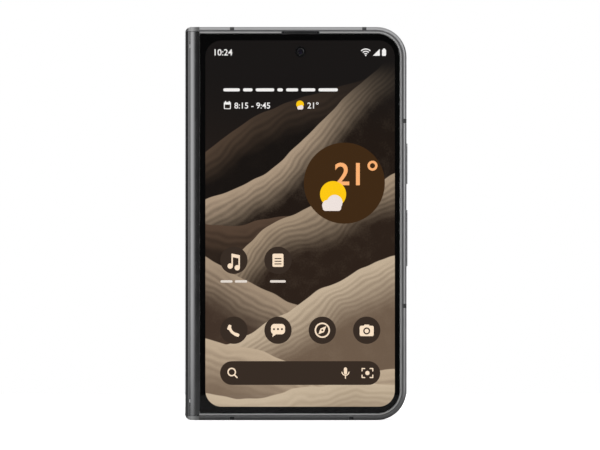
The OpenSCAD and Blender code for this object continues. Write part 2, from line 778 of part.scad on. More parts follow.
module key_switches() color("silver") rear_side() {
    block(body_w - switch_in - 1.5 * switch_t, body_w - switch_in - switch_t, key_u - key_w / 2,
        key_u + key_w / 2, volume_z - volume_l / 2, power_z + power_l / 2);
    for (z = [power_z, volume_z - plunger_reach, volume_z + plunger_reach])
        translate([body_w - switch_in - switch_t - lap, key_u, z]) rotate([0, 90, 0])
            cylinder(r = key_w / 2 - lap, h = switch_t + lap);
}

module inner_camera() color(black) rear_side() {
    rod(inner_lens_x, inner_lens_z, inner_lens_r, bezel_u + 0.08, bay_u + lap);
    block(inner_lens_x - inner_body / 2, inner_lens_x + inner_body / 2, bay_u, bay_u + camera_base_t,
        inner_lens_z + 1.8 - inner_body, inner_lens_z + 1.8);
}

module rear_inner_bezel() color(black) rear_side() difference() {
    inner_bezel();
    rod(inner_lens_x, inner_lens_z, inner_lens_r + bay_gap, 0, floor_u + past);
}

module rear_inner_display() color(black) rear_side() inner_display();

module rear_hinge_arms() color(steel) rear_side() hinge_arms();

module rear_sync_gears() color(brass) spine() sync_gears(axis_y, rear_phase);

module rear_screws() color("silver") rear_side() half_screws(rear_posts);

module magnets() for (z = magnet_z) block(battery_x1 + 0.4, battery_x1 + 0.4 + magnet_w, bay_u,
    bay_u + magnet_t, z - magnet_l / 2, z + magnet_l / 2);

module rear_magnets() color("gray") rear_side() magnets();

// Front half

module front_frame() color(steel) front_side() difference() {
    half_frame(panel_u, front_posts);
    translate([ear_x, 0, ear_z]) plate(ear_duct_u, glass_u + past) slot(ear_l, ear_w);
    block(ear_x - 4, ear_x + 8, ear_duct_u, panel_u - 0.3, body_h - wall_t - past, body_h - rim_in);
    translate([tray_x, tray_u, -past]) linear_extrude(past + tray_z0 + tray_face + tray_gap)
        slot(tray_w + 2 * tray_gap, tray_t + 2 * tray_gap);
    block(tray_x - tray_half - tray_gap, tray_x + tray_half + tray_gap, tray_u - tray_core - tray_gap,
        tray_u + tray_core + tray_gap, -past, wall_t + past);
    translate([port_x + hole_first, mid_u, -past]) cylinder(r = hole_r, h = wall_t + 2 * past);
}

module front_antenna_breaks() color(dark_steel) front_side() antenna_breaks();

module front_hinge_strip() color(steel) front_side() hinge_strip();

module front_hinge_trims() color(steel) front_side() hinge_trims();

module cover_glass() color(glass_tint) front_side() difference() {
    glass_sheet();
    translate([ear_x, 0, body_h - glass_in]) plate(seat_u - past, glass_u + past)
        slot(ear_l, 2 * ear_notch);
}

module cover_display() color(black) front_side() difference() {
    plate(panel_u, seat_u) right_round(panel_x0 + run_gap, body_w - wall_t - bay_gap,
        wall_t + bay_gap, body_h - wall_t - bay_gap, corner_r - wall_t - bay_gap);
    rod(cover_lens_x, cover_lens_z, cover_lens_r + bay_gap, panel_u - past, seat_u + past);
}

module cover_camera() color(black) front_side()
    round_camera(cover_lens_x, cover_lens_z, cover_lens_r, bay_u, seat_u - run_gap,
        2 * cover_lens_r + 2.5);

module earpiece() color(black) front_side() block(ear_x + earpiece_in,
    ear_x + earpiece_in + earpiece_w, bay_u, panel_u - 0.4, bay_top - 0.3 - earpiece_h, bay_top - 0.3);

module earpiece_grille() color(dark_steel) front_side()
    translate([ear_x, 0, ear_z]) difference() {
        plate(seat_u - grille_t / 2, seat_u + grille_t / 2) slot(ear_l - bay_gap, ear_w - bay_gap);
        for (i = [-8 : 8]) rod(grille_pitch * i, 0, grille_hole_r, seat_u - past, seat_u + past);
    }

module front_battery() color(foil) front_side()
    plate(bay_u, panel_u - 0.15) all_round(battery_x0, battery_x1, front_battery_z0,
        front_battery_z1, battery_corner_r);

module front_board() color(pcb) front_side() {
    difference() {
        block(board_x0, board_x1, board_u, board_face_u, board_z0, bay_top - 8);
        for (p = front_posts) rod(p[0], p[1], screw_r + bay_gap, board_u - past, board_face_u + past);
    }
    for (z = chip_z) block(board_x0 + 2 * shield_in, board_x1 - 2 * shield_in, board_face_u - lap,
        board_face_u + chip_t, z, z + chip_l);
}

module vibration_motor() color("silver") front_side()
    block(motor_x0, motor_x0 + motor_w, bay_u, panel_u - 0.4, motor_z[0], motor_z[1]);

module card_reader() color("silver") front_side() difference() {
    block(tray_x - tray_w / 2, tray_x + tray_w / 2, bay_u, panel_u - 0.2, reader_z0, tray_l + 3.5);
    block(tray_x - tray_half - 0.25, tray_x + tray_half + 0.25, tray_u - tray_core - 2 * tray_gap,
        tray_u + tray_core + 2 * tray_gap, 0, tray_l + 2.8);
}

module front_inner_bezel() color(black) front_side() inner_bezel();

module front_inner_display() color(black) front_side() inner_display();

module front_hinge_arms() color(steel) front_side() hinge_arms();

module front_sync_gears() color(brass) spine() sync_gears(-axis_y, front_phase);

module front_screws() color("silver") front_side() half_screws(front_posts);

module front_magnets() color("gray") front_side() magnets();

// Spine

module at_axes() for (side = [-1, 1]) translate([axis_x, side * axis_y]) children();

// The spine's outline, drawn in X and Y, at a depth under its outer skin
module spine_outline(depth) {
    at_axes() circle(axis_x - depth);
    translate([depth, -axis_y]) square([axis_x - depth, 2 * axis_y]);
}

module spine_cover() color(dark_steel) spine() translate([0, 0, cap_h + 0.1])
    linear_extrude(body_h - 2 * cap_h - 0.2) difference() {
        intersection() {
            spine_outline(0);
            translate([-past, -half_t * 2]) square([past + spine_show - strip_gap, half_t * 4]);
        }
        spine_outline(cover_t);
    }

module spine_end_caps() color(steel) spine() both_ends() difference() {
    intersection() {
        translate([0, 0, cap_z0]) linear_extrude(cap_h - cap_z0) intersection() {
            spine_outline(0);
            translate([-past, -half_t * 2]) square([past + flat_top_x - lap, half_t * 4]);
        }
        plate(-half_t * 2, half_t * 2) all_round(0, 10 * cap_h, cap_z0, 10 * cap_h, cap_r);
    }
    translate([0, 0, pin_z0 - lap]) linear_extrude(cap_h) {
        at_axes() circle(pin_r + run_gap);
        for (side = [-1, 1]) translate([idler_x, side * idler_y]) circle(shaft_r + run_gap);
    }
}

module spine_backbone() color(dark_steel) spine() block(cover_t, cover_t + backbone_t,
    -beam_half, beam_half, bend_z + end_gap, body_h - bend_z - end_gap);

module hinge_brackets() color(dark_steel) spine() both_ends() translate([0, 0, bracket_z])
    linear_extrude(bracket_t) difference() {
        union() {
            translate([cover_t, -beam_half]) square([flat_top_x - cover_t, 2 * beam_half]);
            translate([bracket_x0, -bracket_half]) square([flat_top_x - bracket_x0, 2 * bracket_half]);
        }
        at_axes() circle(pin_r + run_gap);
        for (side = [-1, 1]) translate([idler_x, side * idler_y]) circle(shaft_r + run_gap);
    }

module hinge_pins() color("silver") spine() both_ends() translate([0, 0, pin_z0])
    linear_extrude(pin_end_z - pin_z0) at_axes() circle(pin_r);

module idler_shafts() color("silver") spine() both_ends() translate([0, 0, pin_z0])
    linear_extrude(bracket_z + bracket_t - lap - pin_z0)
        for (side = [-1, 1]) translate([idler_x, side * idler_y]) circle(shaft_r);

module torque_washers() color("silver") spine() both_ends() for (i = [0, 1])
    translate([0, 0, washer_z + i * (washer_t + run_gap)]) linear_extrude(washer_t)
        at_axes() difference() {
            circle(knuckle_r);
            circle(pin_r + run_gap);
        }

// Plates that close the bezel over the hinge when the phone is open, notched for the arms
module hinge_bezel_caps() color(black) spine() both_ends() {
    cap_end_z = bend_z - 0.2;
    notch_z1 = knuckle_z + knuckle_h + 0.15;
    block(flat_top_x, flat_bezel_x, -cap_half, cap_half, notch_z1, cap_end_z);
    block(flat_top_x, flat_bezel_x, -tongue_half, tongue_half, lip_in + 0.05, cap_end_z);
    block(flat_top_x, flat_bezel_x, -cap_half, cap_half, lip_in + 0.05, knuckle_z - 0.15);
}

// The folded display, a drop that keeps the length of the flat display
module display_bend() color(black) spine() translate([0, 0, bend_z])
    linear_extrude(body_h - 2 * bend_z) {
    turn_a = atan2(bend_u + turn_r, bend_dx);
    mouth_a = turn_a - 2;
    reach = 5;
    difference() {
        translate([bend_x, 0]) circle(bend_r + bend_t / 2);
        translate([bend_x, 0]) circle(bend_r - bend_t / 2);
        translate([bend_x, 0]) polygon([[0, 0], [reach * cos(mouth_a), reach * sin(mouth_a)],
            [2 * reach, 0], [reach * cos(mouth_a), -reach * sin(mouth_a)]]);
    }
    for (side = [0, 1]) mirror([0, side]) translate([bend_x + bend_dx, bend_u + turn_r]) intersection() {
        difference() {
            circle(turn_r + bend_t / 2);
            circle(turn_r - bend_t / 2);
        }
        polygon([[0, 0], [-reach * cos(turn_a), -reach * sin(turn_a)], [-reach, -2 * reach],
            [0, -2 * reach]]);
    }
    for (side = [-1, 1]) translate([bend_x + bend_dx - lap, side * bend_u - bend_t / 2])
        square([panel_x0 - bend_x - bend_dx + lap, bend_t]);
}

module hinge_flex_cables() color("orange") spine() for (z = flex_z)
    translate([0, 0, z - flex_w / 2]) linear_extrude(flex_w) intersection() {
        translate([bend_x, 0]) difference() {
            circle(flex_r + flex_t);
            circle(flex_r);
        }
        translate([0, -half_t]) square([flat_top_x - 0.25, 2 * half_t]);
    }

module front_idler_gears() color(brass) spine() idler_gears(-idler_y, front_idler_phase);

module rear_idler_gears() color(brass) spine() idler_gears(idler_y, rear_idler_phase);

// Keys and tray

// A key: a slot-shaped face in its pocket, with a plunger to each switch
module key(z, length, plungers) {
    translate([body_w - key_deep, key_u, z]) rotate([90, 0, 90]) linear_extrude(key_deep + key_proud)
        rotate(90) slot(length, key_w);
    for (dz = plungers) translate([body_w - wall_t - lap, key_u, z + dz]) rotate([0, 90, 0])
        cylinder(r = plunger_r, h = wall_t - key_deep + 2 * lap);
}

module power_key() color(steel) rear_side() key(power_z, power_l, [0]);

module volume_rocker() color(steel) rear_side() {
    key(volume_z, volume_l, [-plunger_reach, plunger_reach]);
    translate([body_w - rocker_pin_in, key_u - key_w / 2 - rocker_pin_out, volume_z])
        rotate([-90, 0, 0]) cylinder(r = rocker_pin_r, h = key_w + 2 * rocker_pin_out);
}

module card_tray() color(steel) front_side() difference() {
    union() {
        translate([tray_x, tray_u, tray_z0]) linear_extrude(tray_face) slot(tray_w, tray_t);
        block(tray_x - tray_half, tray_x + tray_half, tray_u - tray_core, tray_u + tray_core,
            tray_face, tray_l);
    }
    block(tray_x - card_half, tray_x + card_half, tray_u + tray_core - card_t, tray_u + tray_t,
        reader_z0, tray_l - 1.2);
    translate([tray_x + tray_half - 2 * eject_hole_r, tray_u, -past])
        cylinder(r = eject_hole_r, h = wall_t + past);
}

rear_frame();
rear_antenna_breaks();
rear_hinge_strip();
rear_hinge_trims();
back_glass();
camera_bar();
camera_bar_glass();
main_camera();
wide_camera();
telephoto_camera();
flash();
rear_battery();
main_board();
board_shields();
charging_coil();
charging_port();
port_board();
loudspeaker();
key_switches();
inner_camera();
rear_inner_bezel();
rear_inner_display();
rear_hinge_arms();
rear_sync_gears();
rear_screws();
rear_magnets();
front_frame();
front_antenna_breaks();
front_hinge_strip();
front_hinge_trims();
cover_glass();
cover_display();
cover_camera();
earpiece();
earpiece_grille();
front_battery();
front_board();
vibration_motor();
card_reader();
front_inner_bezel();
front_inner_display();
front_hinge_arms();
front_sync_gears();
front_screws();
front_magnets();
spine_cover();
spine_end_caps();
spine_backbone();
hinge_brackets();
hinge_pins();
idler_shafts();
torque_washers();
hinge_bezel_caps();
display_bend();
hinge_flex_cables();
front_idler_gears();
rear_idler_gears();
power_key();
volume_rocker();
card_tray();
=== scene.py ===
"""Looks of the folding phone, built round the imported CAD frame.

Sizes are in millimetres, as in the part's source: x from the spine's back, u from the fold plane
towards a half's glass, z from the bottom edge. place() turns them into the shared frame, in metres.
"""
import math
import bmesh
import bpy
from mathutils import Matrix, Vector


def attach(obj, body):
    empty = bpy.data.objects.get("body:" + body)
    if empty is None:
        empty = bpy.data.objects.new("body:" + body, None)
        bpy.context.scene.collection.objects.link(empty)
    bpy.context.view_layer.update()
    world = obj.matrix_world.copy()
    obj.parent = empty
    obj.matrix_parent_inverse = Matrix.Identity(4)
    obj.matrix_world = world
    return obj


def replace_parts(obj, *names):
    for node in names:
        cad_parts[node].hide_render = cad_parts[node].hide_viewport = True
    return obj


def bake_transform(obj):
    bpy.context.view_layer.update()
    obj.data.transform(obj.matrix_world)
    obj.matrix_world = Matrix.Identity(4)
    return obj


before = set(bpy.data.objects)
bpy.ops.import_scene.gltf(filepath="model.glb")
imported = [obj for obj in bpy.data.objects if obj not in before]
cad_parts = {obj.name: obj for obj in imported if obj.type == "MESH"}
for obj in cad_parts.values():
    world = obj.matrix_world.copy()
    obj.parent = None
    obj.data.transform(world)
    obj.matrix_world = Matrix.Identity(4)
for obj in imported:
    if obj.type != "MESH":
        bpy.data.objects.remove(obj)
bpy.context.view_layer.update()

MM = 0.001
TO_MM = (1000, 1000, 1000)
CREASE = math.radians(48)

# Places and sizes of the part's source. A box is given as x0, x1, z0, z1.
MID_X, MID_Y = 39.54, 1.1
FRONT, REAR = -1, 1
BODY_H = 139.7
SEAT, GLASS = 5.45, 6.05
PANE, PANE_R = (5.25, 76.25, 2.45, 137.25), 8.15
SCREEN, SCREEN_R = (7.25, 74.52, 4.8, 134.87), 5.7
LENS_X, LENS_Z, LENS_R = 41.0, 130.9, 1.95
EAR_X, EAR_HALF, EAR_DEPTH = 41.0, 6.8, 0.32
BAR, BAR_R = (10.2, 72.2, 106.7, 127.2), 7.0
BAR_LENS_Z = 116.95
MAIN_X, WIDE_X, TELE_X, FLASH_X = 62.2, 48.7, 35.2, 21.7
MAIN_R, WIDE_R, FLASH_R = 4.1, 3.4, 1.9
TELE_OPENING = 3.1, 2.7, 0.9            # half width, half height and corner radius
CUT_IN, WINDOW_IN = 2.2, 1.75           # from the bar's edge to the back's hole and the window
CAMERA_U, WINDOW_U = 7.65, 8.15
INNER_LENS = 65.7, 134.2
KEYS = (91.15, 6.75), (64.7, 9.5)       # middle and half height of the power key and the rocker
COIL_X, COIL_Z = 48.9, 56.0
PORT_X, PORT_U = 41.05, 3.1
SOUND_START, SOUND_PITCH = 9, 2.2       # the sound holes on each side of the port


def place(x, y, z):
    """A point of the part's source, with y across the fold plane, in the shared frame."""
    return Vector(((x - MID_X) * MM, (y - MID_Y) * MM, z * MM))


# Colours

def tone(red, green, blue):
    """A colour as a screen shows it, 0 to 255, as the linear colour that Blender takes."""
    def linear(part):
        part /= 255
        return part / 12.92 if part <= 0.04045 else ((part + 0.055) / 1.055) ** 2.4
    return linear(red), linear(green), linear(blue), 1.0


# Shader maths

class Shade:
    """A socket of a node tree. An expression on values adds its Math nodes."""

    def __init__(self, tree, socket=None):
        self.tree = tree
        self.socket = socket

    def node(self, kind, settings, inputs, output=0):
        """Adds a node. An input that is a Shade is linked, and any other is set."""
        made = self.tree.nodes.new("ShaderNode" + kind)
        for name, value in settings.items():
            setattr(made, name, value)
        for name, value in inputs.items():
            socket = made.inputs[name]
            if isinstance(value, Shade):
                self.tree.links.new(value.socket, socket)
            else:
                socket.default_value = value
        return Shade(self.tree, made.outputs[output])

    def maths(self, operation, *values, clamp=False):
        settings = {"operation": operation, "use_clamp": clamp}
        return self.node("Math", settings, dict(enumerate(values)))

    def __add__(self, other):
        return self.maths("ADD", self, other)

    __radd__ = __add__

    def __mul__(self, other):
        return self.maths("MULTIPLY", self, other)

    __rmul__ = __mul__

    def __sub__(self, other):
        return self.maths("SUBTRACT", self, other)

    def __rsub__(self, other):
        return self.maths("SUBTRACT", other, self)

    def __pow__(self, other):
        return self.maths("POWER", self, other)

    def sine(self):
        return self.maths("SINE", self)

    def wave(self, pitch):
        """A sine wave that starts again after each pitch."""
        return (self * (2 * math.pi / pitch)).sine()

    def clamped(self):
        return self.maths("ADD", self, 0.0, clamp=True)

    def size(self):
        """The value without its sign."""
        return self.maths("ABSOLUTE", self)

    def most(self, other):
        """The larger of two values."""
        return self.maths("MAXIMUM", self, other)

    def step(self, low, high):
        """Rises smoothly from 0 at low to 1 at high."""
        return self.node("MapRange", {"interpolation_type": "SMOOTHSTEP"},
                         {"Value": self, "From Min": low, "From Max": high})

    def blend(self, first, second):
        """Mixes two colours, with this value as the factor."""
        return self.node("Mix", {"data_type": "RGBA"}, {0: self, 6: first, 7: second}, 2)

    def outputs(self, *names):
        """Outputs of this value's node, or all of them if none is named."""
        found = self.socket.node.outputs
        return [Shade(self.tree, found[name]) for name in names or range(len(found))]

    def parts(self):
        """The three parts of a vector."""
        return self.node("SeparateXYZ", {}, {0: self}).outputs()


class Finish(Shade):
    """A material on one Principled shader, with patterns in the shared frame's millimetres."""

    def __init__(self, name, **constants):
        self.material = bpy.data.materials.new(name)
        self.material.use_nodes = True
        super().__init__(self.material.node_tree)
        self.shader = self.tree.nodes["Principled BSDF"]
        for socket, value in constants.items():
            self.set(socket.replace("_", " ").title().replace("Ior", "IOR"), value)

    def set(self, socket, value):
        if isinstance(value, Shade):
            self.tree.links.new(value.socket, self.shader.inputs[socket])
        else:
            self.shader.inputs[socket].default_value = value
        return self

    def spot(self, scale=TO_MM, shift=(0, 0, 0)):
        """Object coordinates, by default in millimetres."""
        point = self.node("TexCoord", {}, {}, "Object")
        return self.node("Mapping", {}, {"Vector": point, "Scale": scale, "Location": shift})

    def noise(self, size, detail=2.0, stretch=(1, 1, 1), seed=0.0):
        """Soft noise with spots of a size in millimetres, centred on 0."""
        where = self.spot(tuple(full / (size * part) for full, part in zip(TO_MM, stretch)),
                          (seed, seed, seed))
        made = self.node("TexNoise", {}, {"Vector": where, "Scale": 1.0, "Detail": detail})
        return (made - 0.5) * 2

    def bump(self, height, depth):
        """Raises the surface by depth millimetres where the height is 1."""
        self.set("Normal", self.node("Bump", {}, {
            "Height": height, "Distance": depth * MM, "Strength": 1.0}))
        return self


def shaded(colour, spread, pattern):
    """One colour, a little lighter and darker by a pattern from -1 to 1."""
    light = tuple(min(1, part * (1 + spread)) for part in colour[:3]) + (1,)
    dark = tuple(part * (1 - spread) for part in colour[:3]) + (1,)
    return (pattern * 0.5 + 0.5).clamped().blend(dark, light)


def metal(name, colour, roughness, grain=(1, 1, 1), grain_depth=0.0004):
    """Blasted or brushed metal: fine grain, faint clouding and handling marks in its gloss."""
    made = Finish(name, metallic=1.0)
    cloud = made.noise(9, 3, seed=3)
    grit = made.noise(0.22, 2, grain)
    made.set("Base Color", shaded(colour, 0.06, cloud * 0.7 + grit * 0.5))
    made.set("Roughness", (cloud * 0.06 + grit * 0.03 + roughness).clamped())
    made.bump(grit, grain_depth)
    return made.material


def plastic(name, colour, roughness, grain=0.25, grain_depth=0.003):
    """Moulded plastic with a fine spark-eroded grain."""
    made = Finish(name)
    cloud = made.noise(12, 2, seed=5)
    grit = made.noise(grain, 2)
    made.set("Base Color", shaded(colour, 0.08, cloud * 0.6 + grit * 0.4))
    made.set("Roughness", (cloud * 0.05 + grit * 0.05 + roughness).clamped())
    made.bump(grit, grain_depth)
    return made.material


def lit(name, colour):
    """A flat mark of the display, glowing in its own colour."""
    made = Finish(name, base_color=(0, 0, 0, 1), roughness=0.5, specular_ior_level=0.0,
                  emission_strength=1.08)
    return made.set("Emission Color", shaded(colour, 0.012, made.noise(4, 1))).material


def gloss(name, colour, roughness=0.05, coat=0.0, spread=0.1, smear=0.03, **constants):
    """Smooth dark glass or lacquer with faint clouding and fingermarks."""
    made = Finish(name, coat_weight=coat, coat_roughness=0.03, **constants)
    cloud = made.noise(14, 3, seed=2)
    marks = made.noise(2.5, 4, seed=8)
    made.set("Base Color", shaded(colour, spread, cloud))
    made.set("Roughness", (roughness + smear * (cloud * 0.5 + marks * 0.5)).clamped())
    return made.material


def clear(name, colour):
    """Clear coated glass that lets what lies under it through."""
    return Finish(name, base_color=colour, roughness=0.0, ior=1.5, specular_ior_level=0.18,
                  transmission_weight=1.0).material


# Shapes

def outline(bm, corners, segments=14):
    """Adds a flat face in x and z, from its corners and their radii."""
    points = [bm.verts.new((x, 0, z)) for x, z, _ in corners]
    bm.faces.new(points)
    for point, (_, _, radius) in zip(points, corners):
        if radius:
            bmesh.ops.bevel(bm, geom=[point], offset=radius, offset_type="OFFSET",
                            segments=segments, profile=0.5, affect="VERTICES", material=-1,
                            clamp_overlap=False)


def rounded(x0, x1, z0, z1, radius, left_radius=None):
    """Corners of a box, with another radius on the left if one is given."""
    left = radius if left_radius is None else left_radius
    return [(x0, z0, left), (x1, z0, radius), (x1, z1, radius), (x0, z1, left)]


def around(x, z, half_width, half_height, radius):
    """Corners of a box about its middle."""
    return rounded(x - half_width, x + half_width, z - half_height, z + half_height, radius)


def within(box, inset, radius):
    """Corners of a box that lies inside another by an inset."""
    x0, x1, z0, z1 = box
    return rounded(x0 + inset, x1 - inset, z0 + inset, z1 - inset, radius)


def thicken(bm, thickness):
    """Gives the flat faces of a bmesh a thickness along +y."""
    flat = bmesh.ops.extrude_face_region(bm, geom=bm.faces[:])
    points = [part for part in flat["geom"] if isinstance(part, bmesh.types.BMVert)]
    bmesh.ops.translate(bm, verts=points, vec=(0, thickness, 0))
    bmesh.ops.recalc_face_normals(bm, faces=bm.faces)


def apply_modifiers(made):
    """Turns a piece's modifiers into its mesh."""
    graph = bpy.context.evaluated_depsgraph_get()
    mesh = bpy.data.meshes.new_from_object(
        made.evaluated_get(graph), preserve_all_data_layers=True, depsgraph=graph)
    made.modifiers.clear()
    made.data = mesh


def level(made):
    """Keeps the flat faces of a smooth piece flat in its shading."""
    step = made.modifiers.new("level", "WEIGHTED_NORMAL")
    step.keep_sharp = True
    step.weight = 100
    apply_modifiers(made)


def piece(name, bm, material, body, side=None, smooth=True):
    """Makes a bmesh in x, u and z one finished piece that rides on a body."""
    bmesh.ops.remove_doubles(bm, verts=bm.verts, dist=1e-5)
    if side == FRONT:
        bmesh.ops.scale(bm, vec=(1, -1, 1), verts=bm.verts)
        bmesh.ops.reverse_faces(bm, faces=bm.faces)
    bmesh.ops.translate(bm, vec=(-MID_X, -MID_Y, 0), verts=bm.verts)
    bmesh.ops.scale(bm, vec=(MM, MM, MM), verts=bm.verts)
    mesh = bpy.data.meshes.new(name)
    bm.to_mesh(mesh)
    bm.free()
    mesh.materials.append(material)
    made = bpy.data.objects.new(name, mesh)
    bpy.context.scene.collection.objects.link(made)
    if smooth:
        mesh.shade_smooth()
        mesh.set_sharp_from_angle(angle=CREASE)
        level(made)
    if body:
        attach(made, body)
    return made


def pane(corners, u0, u1, edge):
    """A flat plate whose outer edge towards u1 is rounded off."""
    bm = bmesh.new()
    outline(bm, corners)
    bmesh.ops.translate(bm, vec=(0, u0, 0), verts=bm.verts)
    thicken(bm, u1 - u0)
    if edge:
        rim = [e for e in bm.edges if all(abs(v.co.y - u1) < 1e-4 for v in e.verts)]
        bmesh.ops.bevel(bm, geom=rim, offset=edge, offset_type="OFFSET", segments=3, profile=0.5,
                        affect="EDGES", material=-1, clamp_overlap=True)
    return bm


def holed(outer, holes, u0, u1):
    """A plate with holes: the outline and each hole are given as bmesh-making functions."""
    bm = bmesh.new()
    outer(bm)
    for hole in holes:
        hole(bm)
    edges = bm.edges[:]
    bmesh.ops.delete(bm, geom=bm.faces[:], context="FACES_ONLY")
    bmesh.ops.triangle_fill(bm, use_beauty=True, use_dissolve=False, edges=edges)
    bmesh.ops.translate(bm, vec=(0, u0, 0), verts=bm.verts)
    thicken(bm, u1 - u0)
    return bm


def disc(x, z, radius, segments=64):
    """A round loop for holed() and for the display's marks."""
    at = Matrix.Translation((x, 0, z)) @ Matrix.Rotation(math.pi / 2, 4, "X")
    return lambda bm: bmesh.ops.create_circle(bm, cap_ends=True, radius=radius,
                                              segments=segments, matrix=at)


def shape(corners, segments=14):
    """A loop with rounded corners for holed() and for the display's marks."""
    return lambda bm: outline(bm, corners, segments)


def lathe(profile, x, z):
    """Turns a profile of radius and u about the axis through x and z."""
    bm = bmesh.new()
    points = [bm.verts.new((x + radius, u, z)) for radius, u in profile]
    edges = [bm.edges.new(pair) for pair in zip(points, points[1:])]
    bmesh.ops.spin(bm, geom=points + edges, cent=(x, 0, z), axis=(0, 1, 0), angle=2 * math.pi,
                   steps=72, use_merge=True, use_duplicate=False)
    bmesh.ops.remove_doubles(bm, verts=bm.verts, dist=1e-4)
    bmesh.ops.recalc_face_normals(bm, faces=bm.faces)
    return bm


def blocks(middles, size):
    """Equal boxes about their middles."""
    bm = bmesh.new()
    for middle in middles:
        at = Matrix.Translation(middle) @ Matrix.Diagonal((*size, 1))
        bmesh.ops.create_cube(bm, size=1, matrix=at)
    return bm


def carve(made, cutter):
    """Cuts a cutter out of a piece and removes the cutter."""
    step = made.modifiers.new("cut", "BOOLEAN")
    step.object = cutter
    step.operation = "DIFFERENCE"
    step.solver = "EXACT"
    apply_modifiers(made)
    made.data.set_sharp_from_angle(angle=CREASE)
    level(made)
    bpy.data.objects.remove(cutter)
    return made


class Marks:
    """Flat marks of the display, gathered into one piece in a layer above the picture."""

    def __init__(self):
        self.bm = bmesh.new()

    def gather(self, part):
        """Takes in a bmesh."""
        mesh = bpy.data.meshes.new("part")
        part.to_mesh(mesh)
        part.free()
        self.bm.from_mesh(mesh)
        bpy.data.meshes.remove(mesh)
        return self

    def add(self, make, angle=0, centre=(0, 0)):
        """Adds the shape that make() draws, turned about a centre."""
        part = bmesh.new()
        make(part)
        if angle:
            bmesh.ops.rotate(part, verts=part.verts, cent=(centre[0], 0, centre[1]),
                             matrix=Matrix.Rotation(math.radians(angle), 3, "Y"))
        return self.gather(part)

    def disc(self, x, z, radius):
        return self.add(disc(x, z, radius))

    def box(self, x, z, width, height, radius=0.0, angle=0):
        """A rounded box about a centre."""
        radius = min(radius, 0.499 * width, 0.499 * height)
        return self.add(shape(around(x, z, width / 2, height / 2, radius), 8), angle, (x, z))

    def line(self, x0, z0, x1, z1, width):
        """A stroke with round ends."""
        length = math.hypot(x1 - x0, z1 - z0)
        angle = -math.degrees(math.atan2(z1 - z0, x1 - x0))
        return self.box((x0 + x1) / 2, (z0 + z1) / 2, length + width, width, width / 2, angle)

    def poly(self, corners):
        return self.add(shape(corners, 6))

    def ring(self, x, z, radius, width, start=0, turn=360):
        """A ring, or a part of one, as a strip of faces."""
        part = bmesh.new()
        steps = max(8, round(turn / 6))
        at = math.radians(start)
        points = [part.verts.new((x + r * math.cos(at), 0, z + r * math.sin(at)))
                  for r in (radius - width / 2, radius + width / 2)]
        edge = part.edges.new(points)
        bmesh.ops.spin(part, geom=points + [edge], cent=(x, 0, z), axis=(0, -1, 0),
                       angle=math.radians(turn), steps=steps, use_merge=turn == 360,
                       use_duplicate=False)
        return self.gather(part)

    def digits(self, text, x, z, size, weight):
        """Numbers with their foot on z."""
        curve = bpy.data.curves.new("digits", "FONT")
        curve.body = text
        curve.size = size
        curve.offset = weight
        curve.resolution_u = 6
        written = bpy.data.objects.new("digits", curve)
        bpy.context.scene.collection.objects.link(written)
        graph = bpy.context.evaluated_depsgraph_get()
        mesh = bpy.data.meshes.new_from_object(written.evaluated_get(graph))
        mesh.transform(Matrix.Translation((x, 0, z)) @ Matrix.Rotation(math.pi / 2, 4, "X"))
        self.bm.from_mesh(mesh)
        bpy.data.objects.remove(written)
        bpy.data.curves.remove(curve)
        bpy.data.meshes.remove(mesh)
        return self

    def piece(self, name, layer, material):
        """Makes the marks a piece, each layer a little further out than the last."""
        lift = SEAT + 0.012 + 0.008 * layer
        bmesh.ops.translate(self.bm, vec=(0, lift, 0), verts=self.bm.verts)
        thicken(self.bm, 0.006)
        return piece(name, self.bm, material, "front_half", FRONT, smooth=False)


# Finishes

def frame_finish():
    """Satin frame, with a painted highlight on the rim beside the glass: a lighter colour and a
    broader gloss there.
    """
    made = Finish("frame metal", metallic=1.0)
    _, y, _ = made.spot(shift=(0, MID_Y, 0)).parts()
    # Painted highlight: the rim beside the glass gets a lighter colour and a rougher, broader
    # gloss, for the light it catches face-on.
    rim = y.size().step(GLASS - 0.13, GLASS - 0.07)
    cloud = made.noise(9, 3, seed=3)
    grit = made.noise(0.22, 2)
    satin = shaded(tone(192, 192, 193), 0.06, cloud * 0.7 + grit * 0.5)
    painted_rim_highlight = shaded(tone(232, 232, 231), 0.04, grit)
    made.set("Base Color", rim.blend(satin, painted_rim_highlight))
    made.set("Roughness", 0.38 + cloud * 0.04 + grit * 0.03 + rim * 0.16)
    return made.bump(grit, 0.0003).material


def key_finish():
    """Brushed keys, with painted shade on their ends for the shadow of their slots."""
    made = Finish("key metal", metallic=1.0)
    _, _, z = made.spot().parts()
    # Painted shade: past each key's half height its colour turns dark grey, standing in for the
    # shadow in its slot.
    power_end_painted_shade, volume_end_painted_shade = ((z - middle).size().step(half, half + 0.3) for middle, half in KEYS)
    brush = made.noise(0.22, 2, (1, 1, 6))
    body = shaded(tone(178, 178, 178), 0.06, brush)
    made.set("Base Color", (power_end_painted_shade * volume_end_painted_shade).blend(body, tone(40, 40, 41)))
    made.set("Roughness", 0.34 + brush * 0.05)
    return made.bump(brush, 0.0004).material


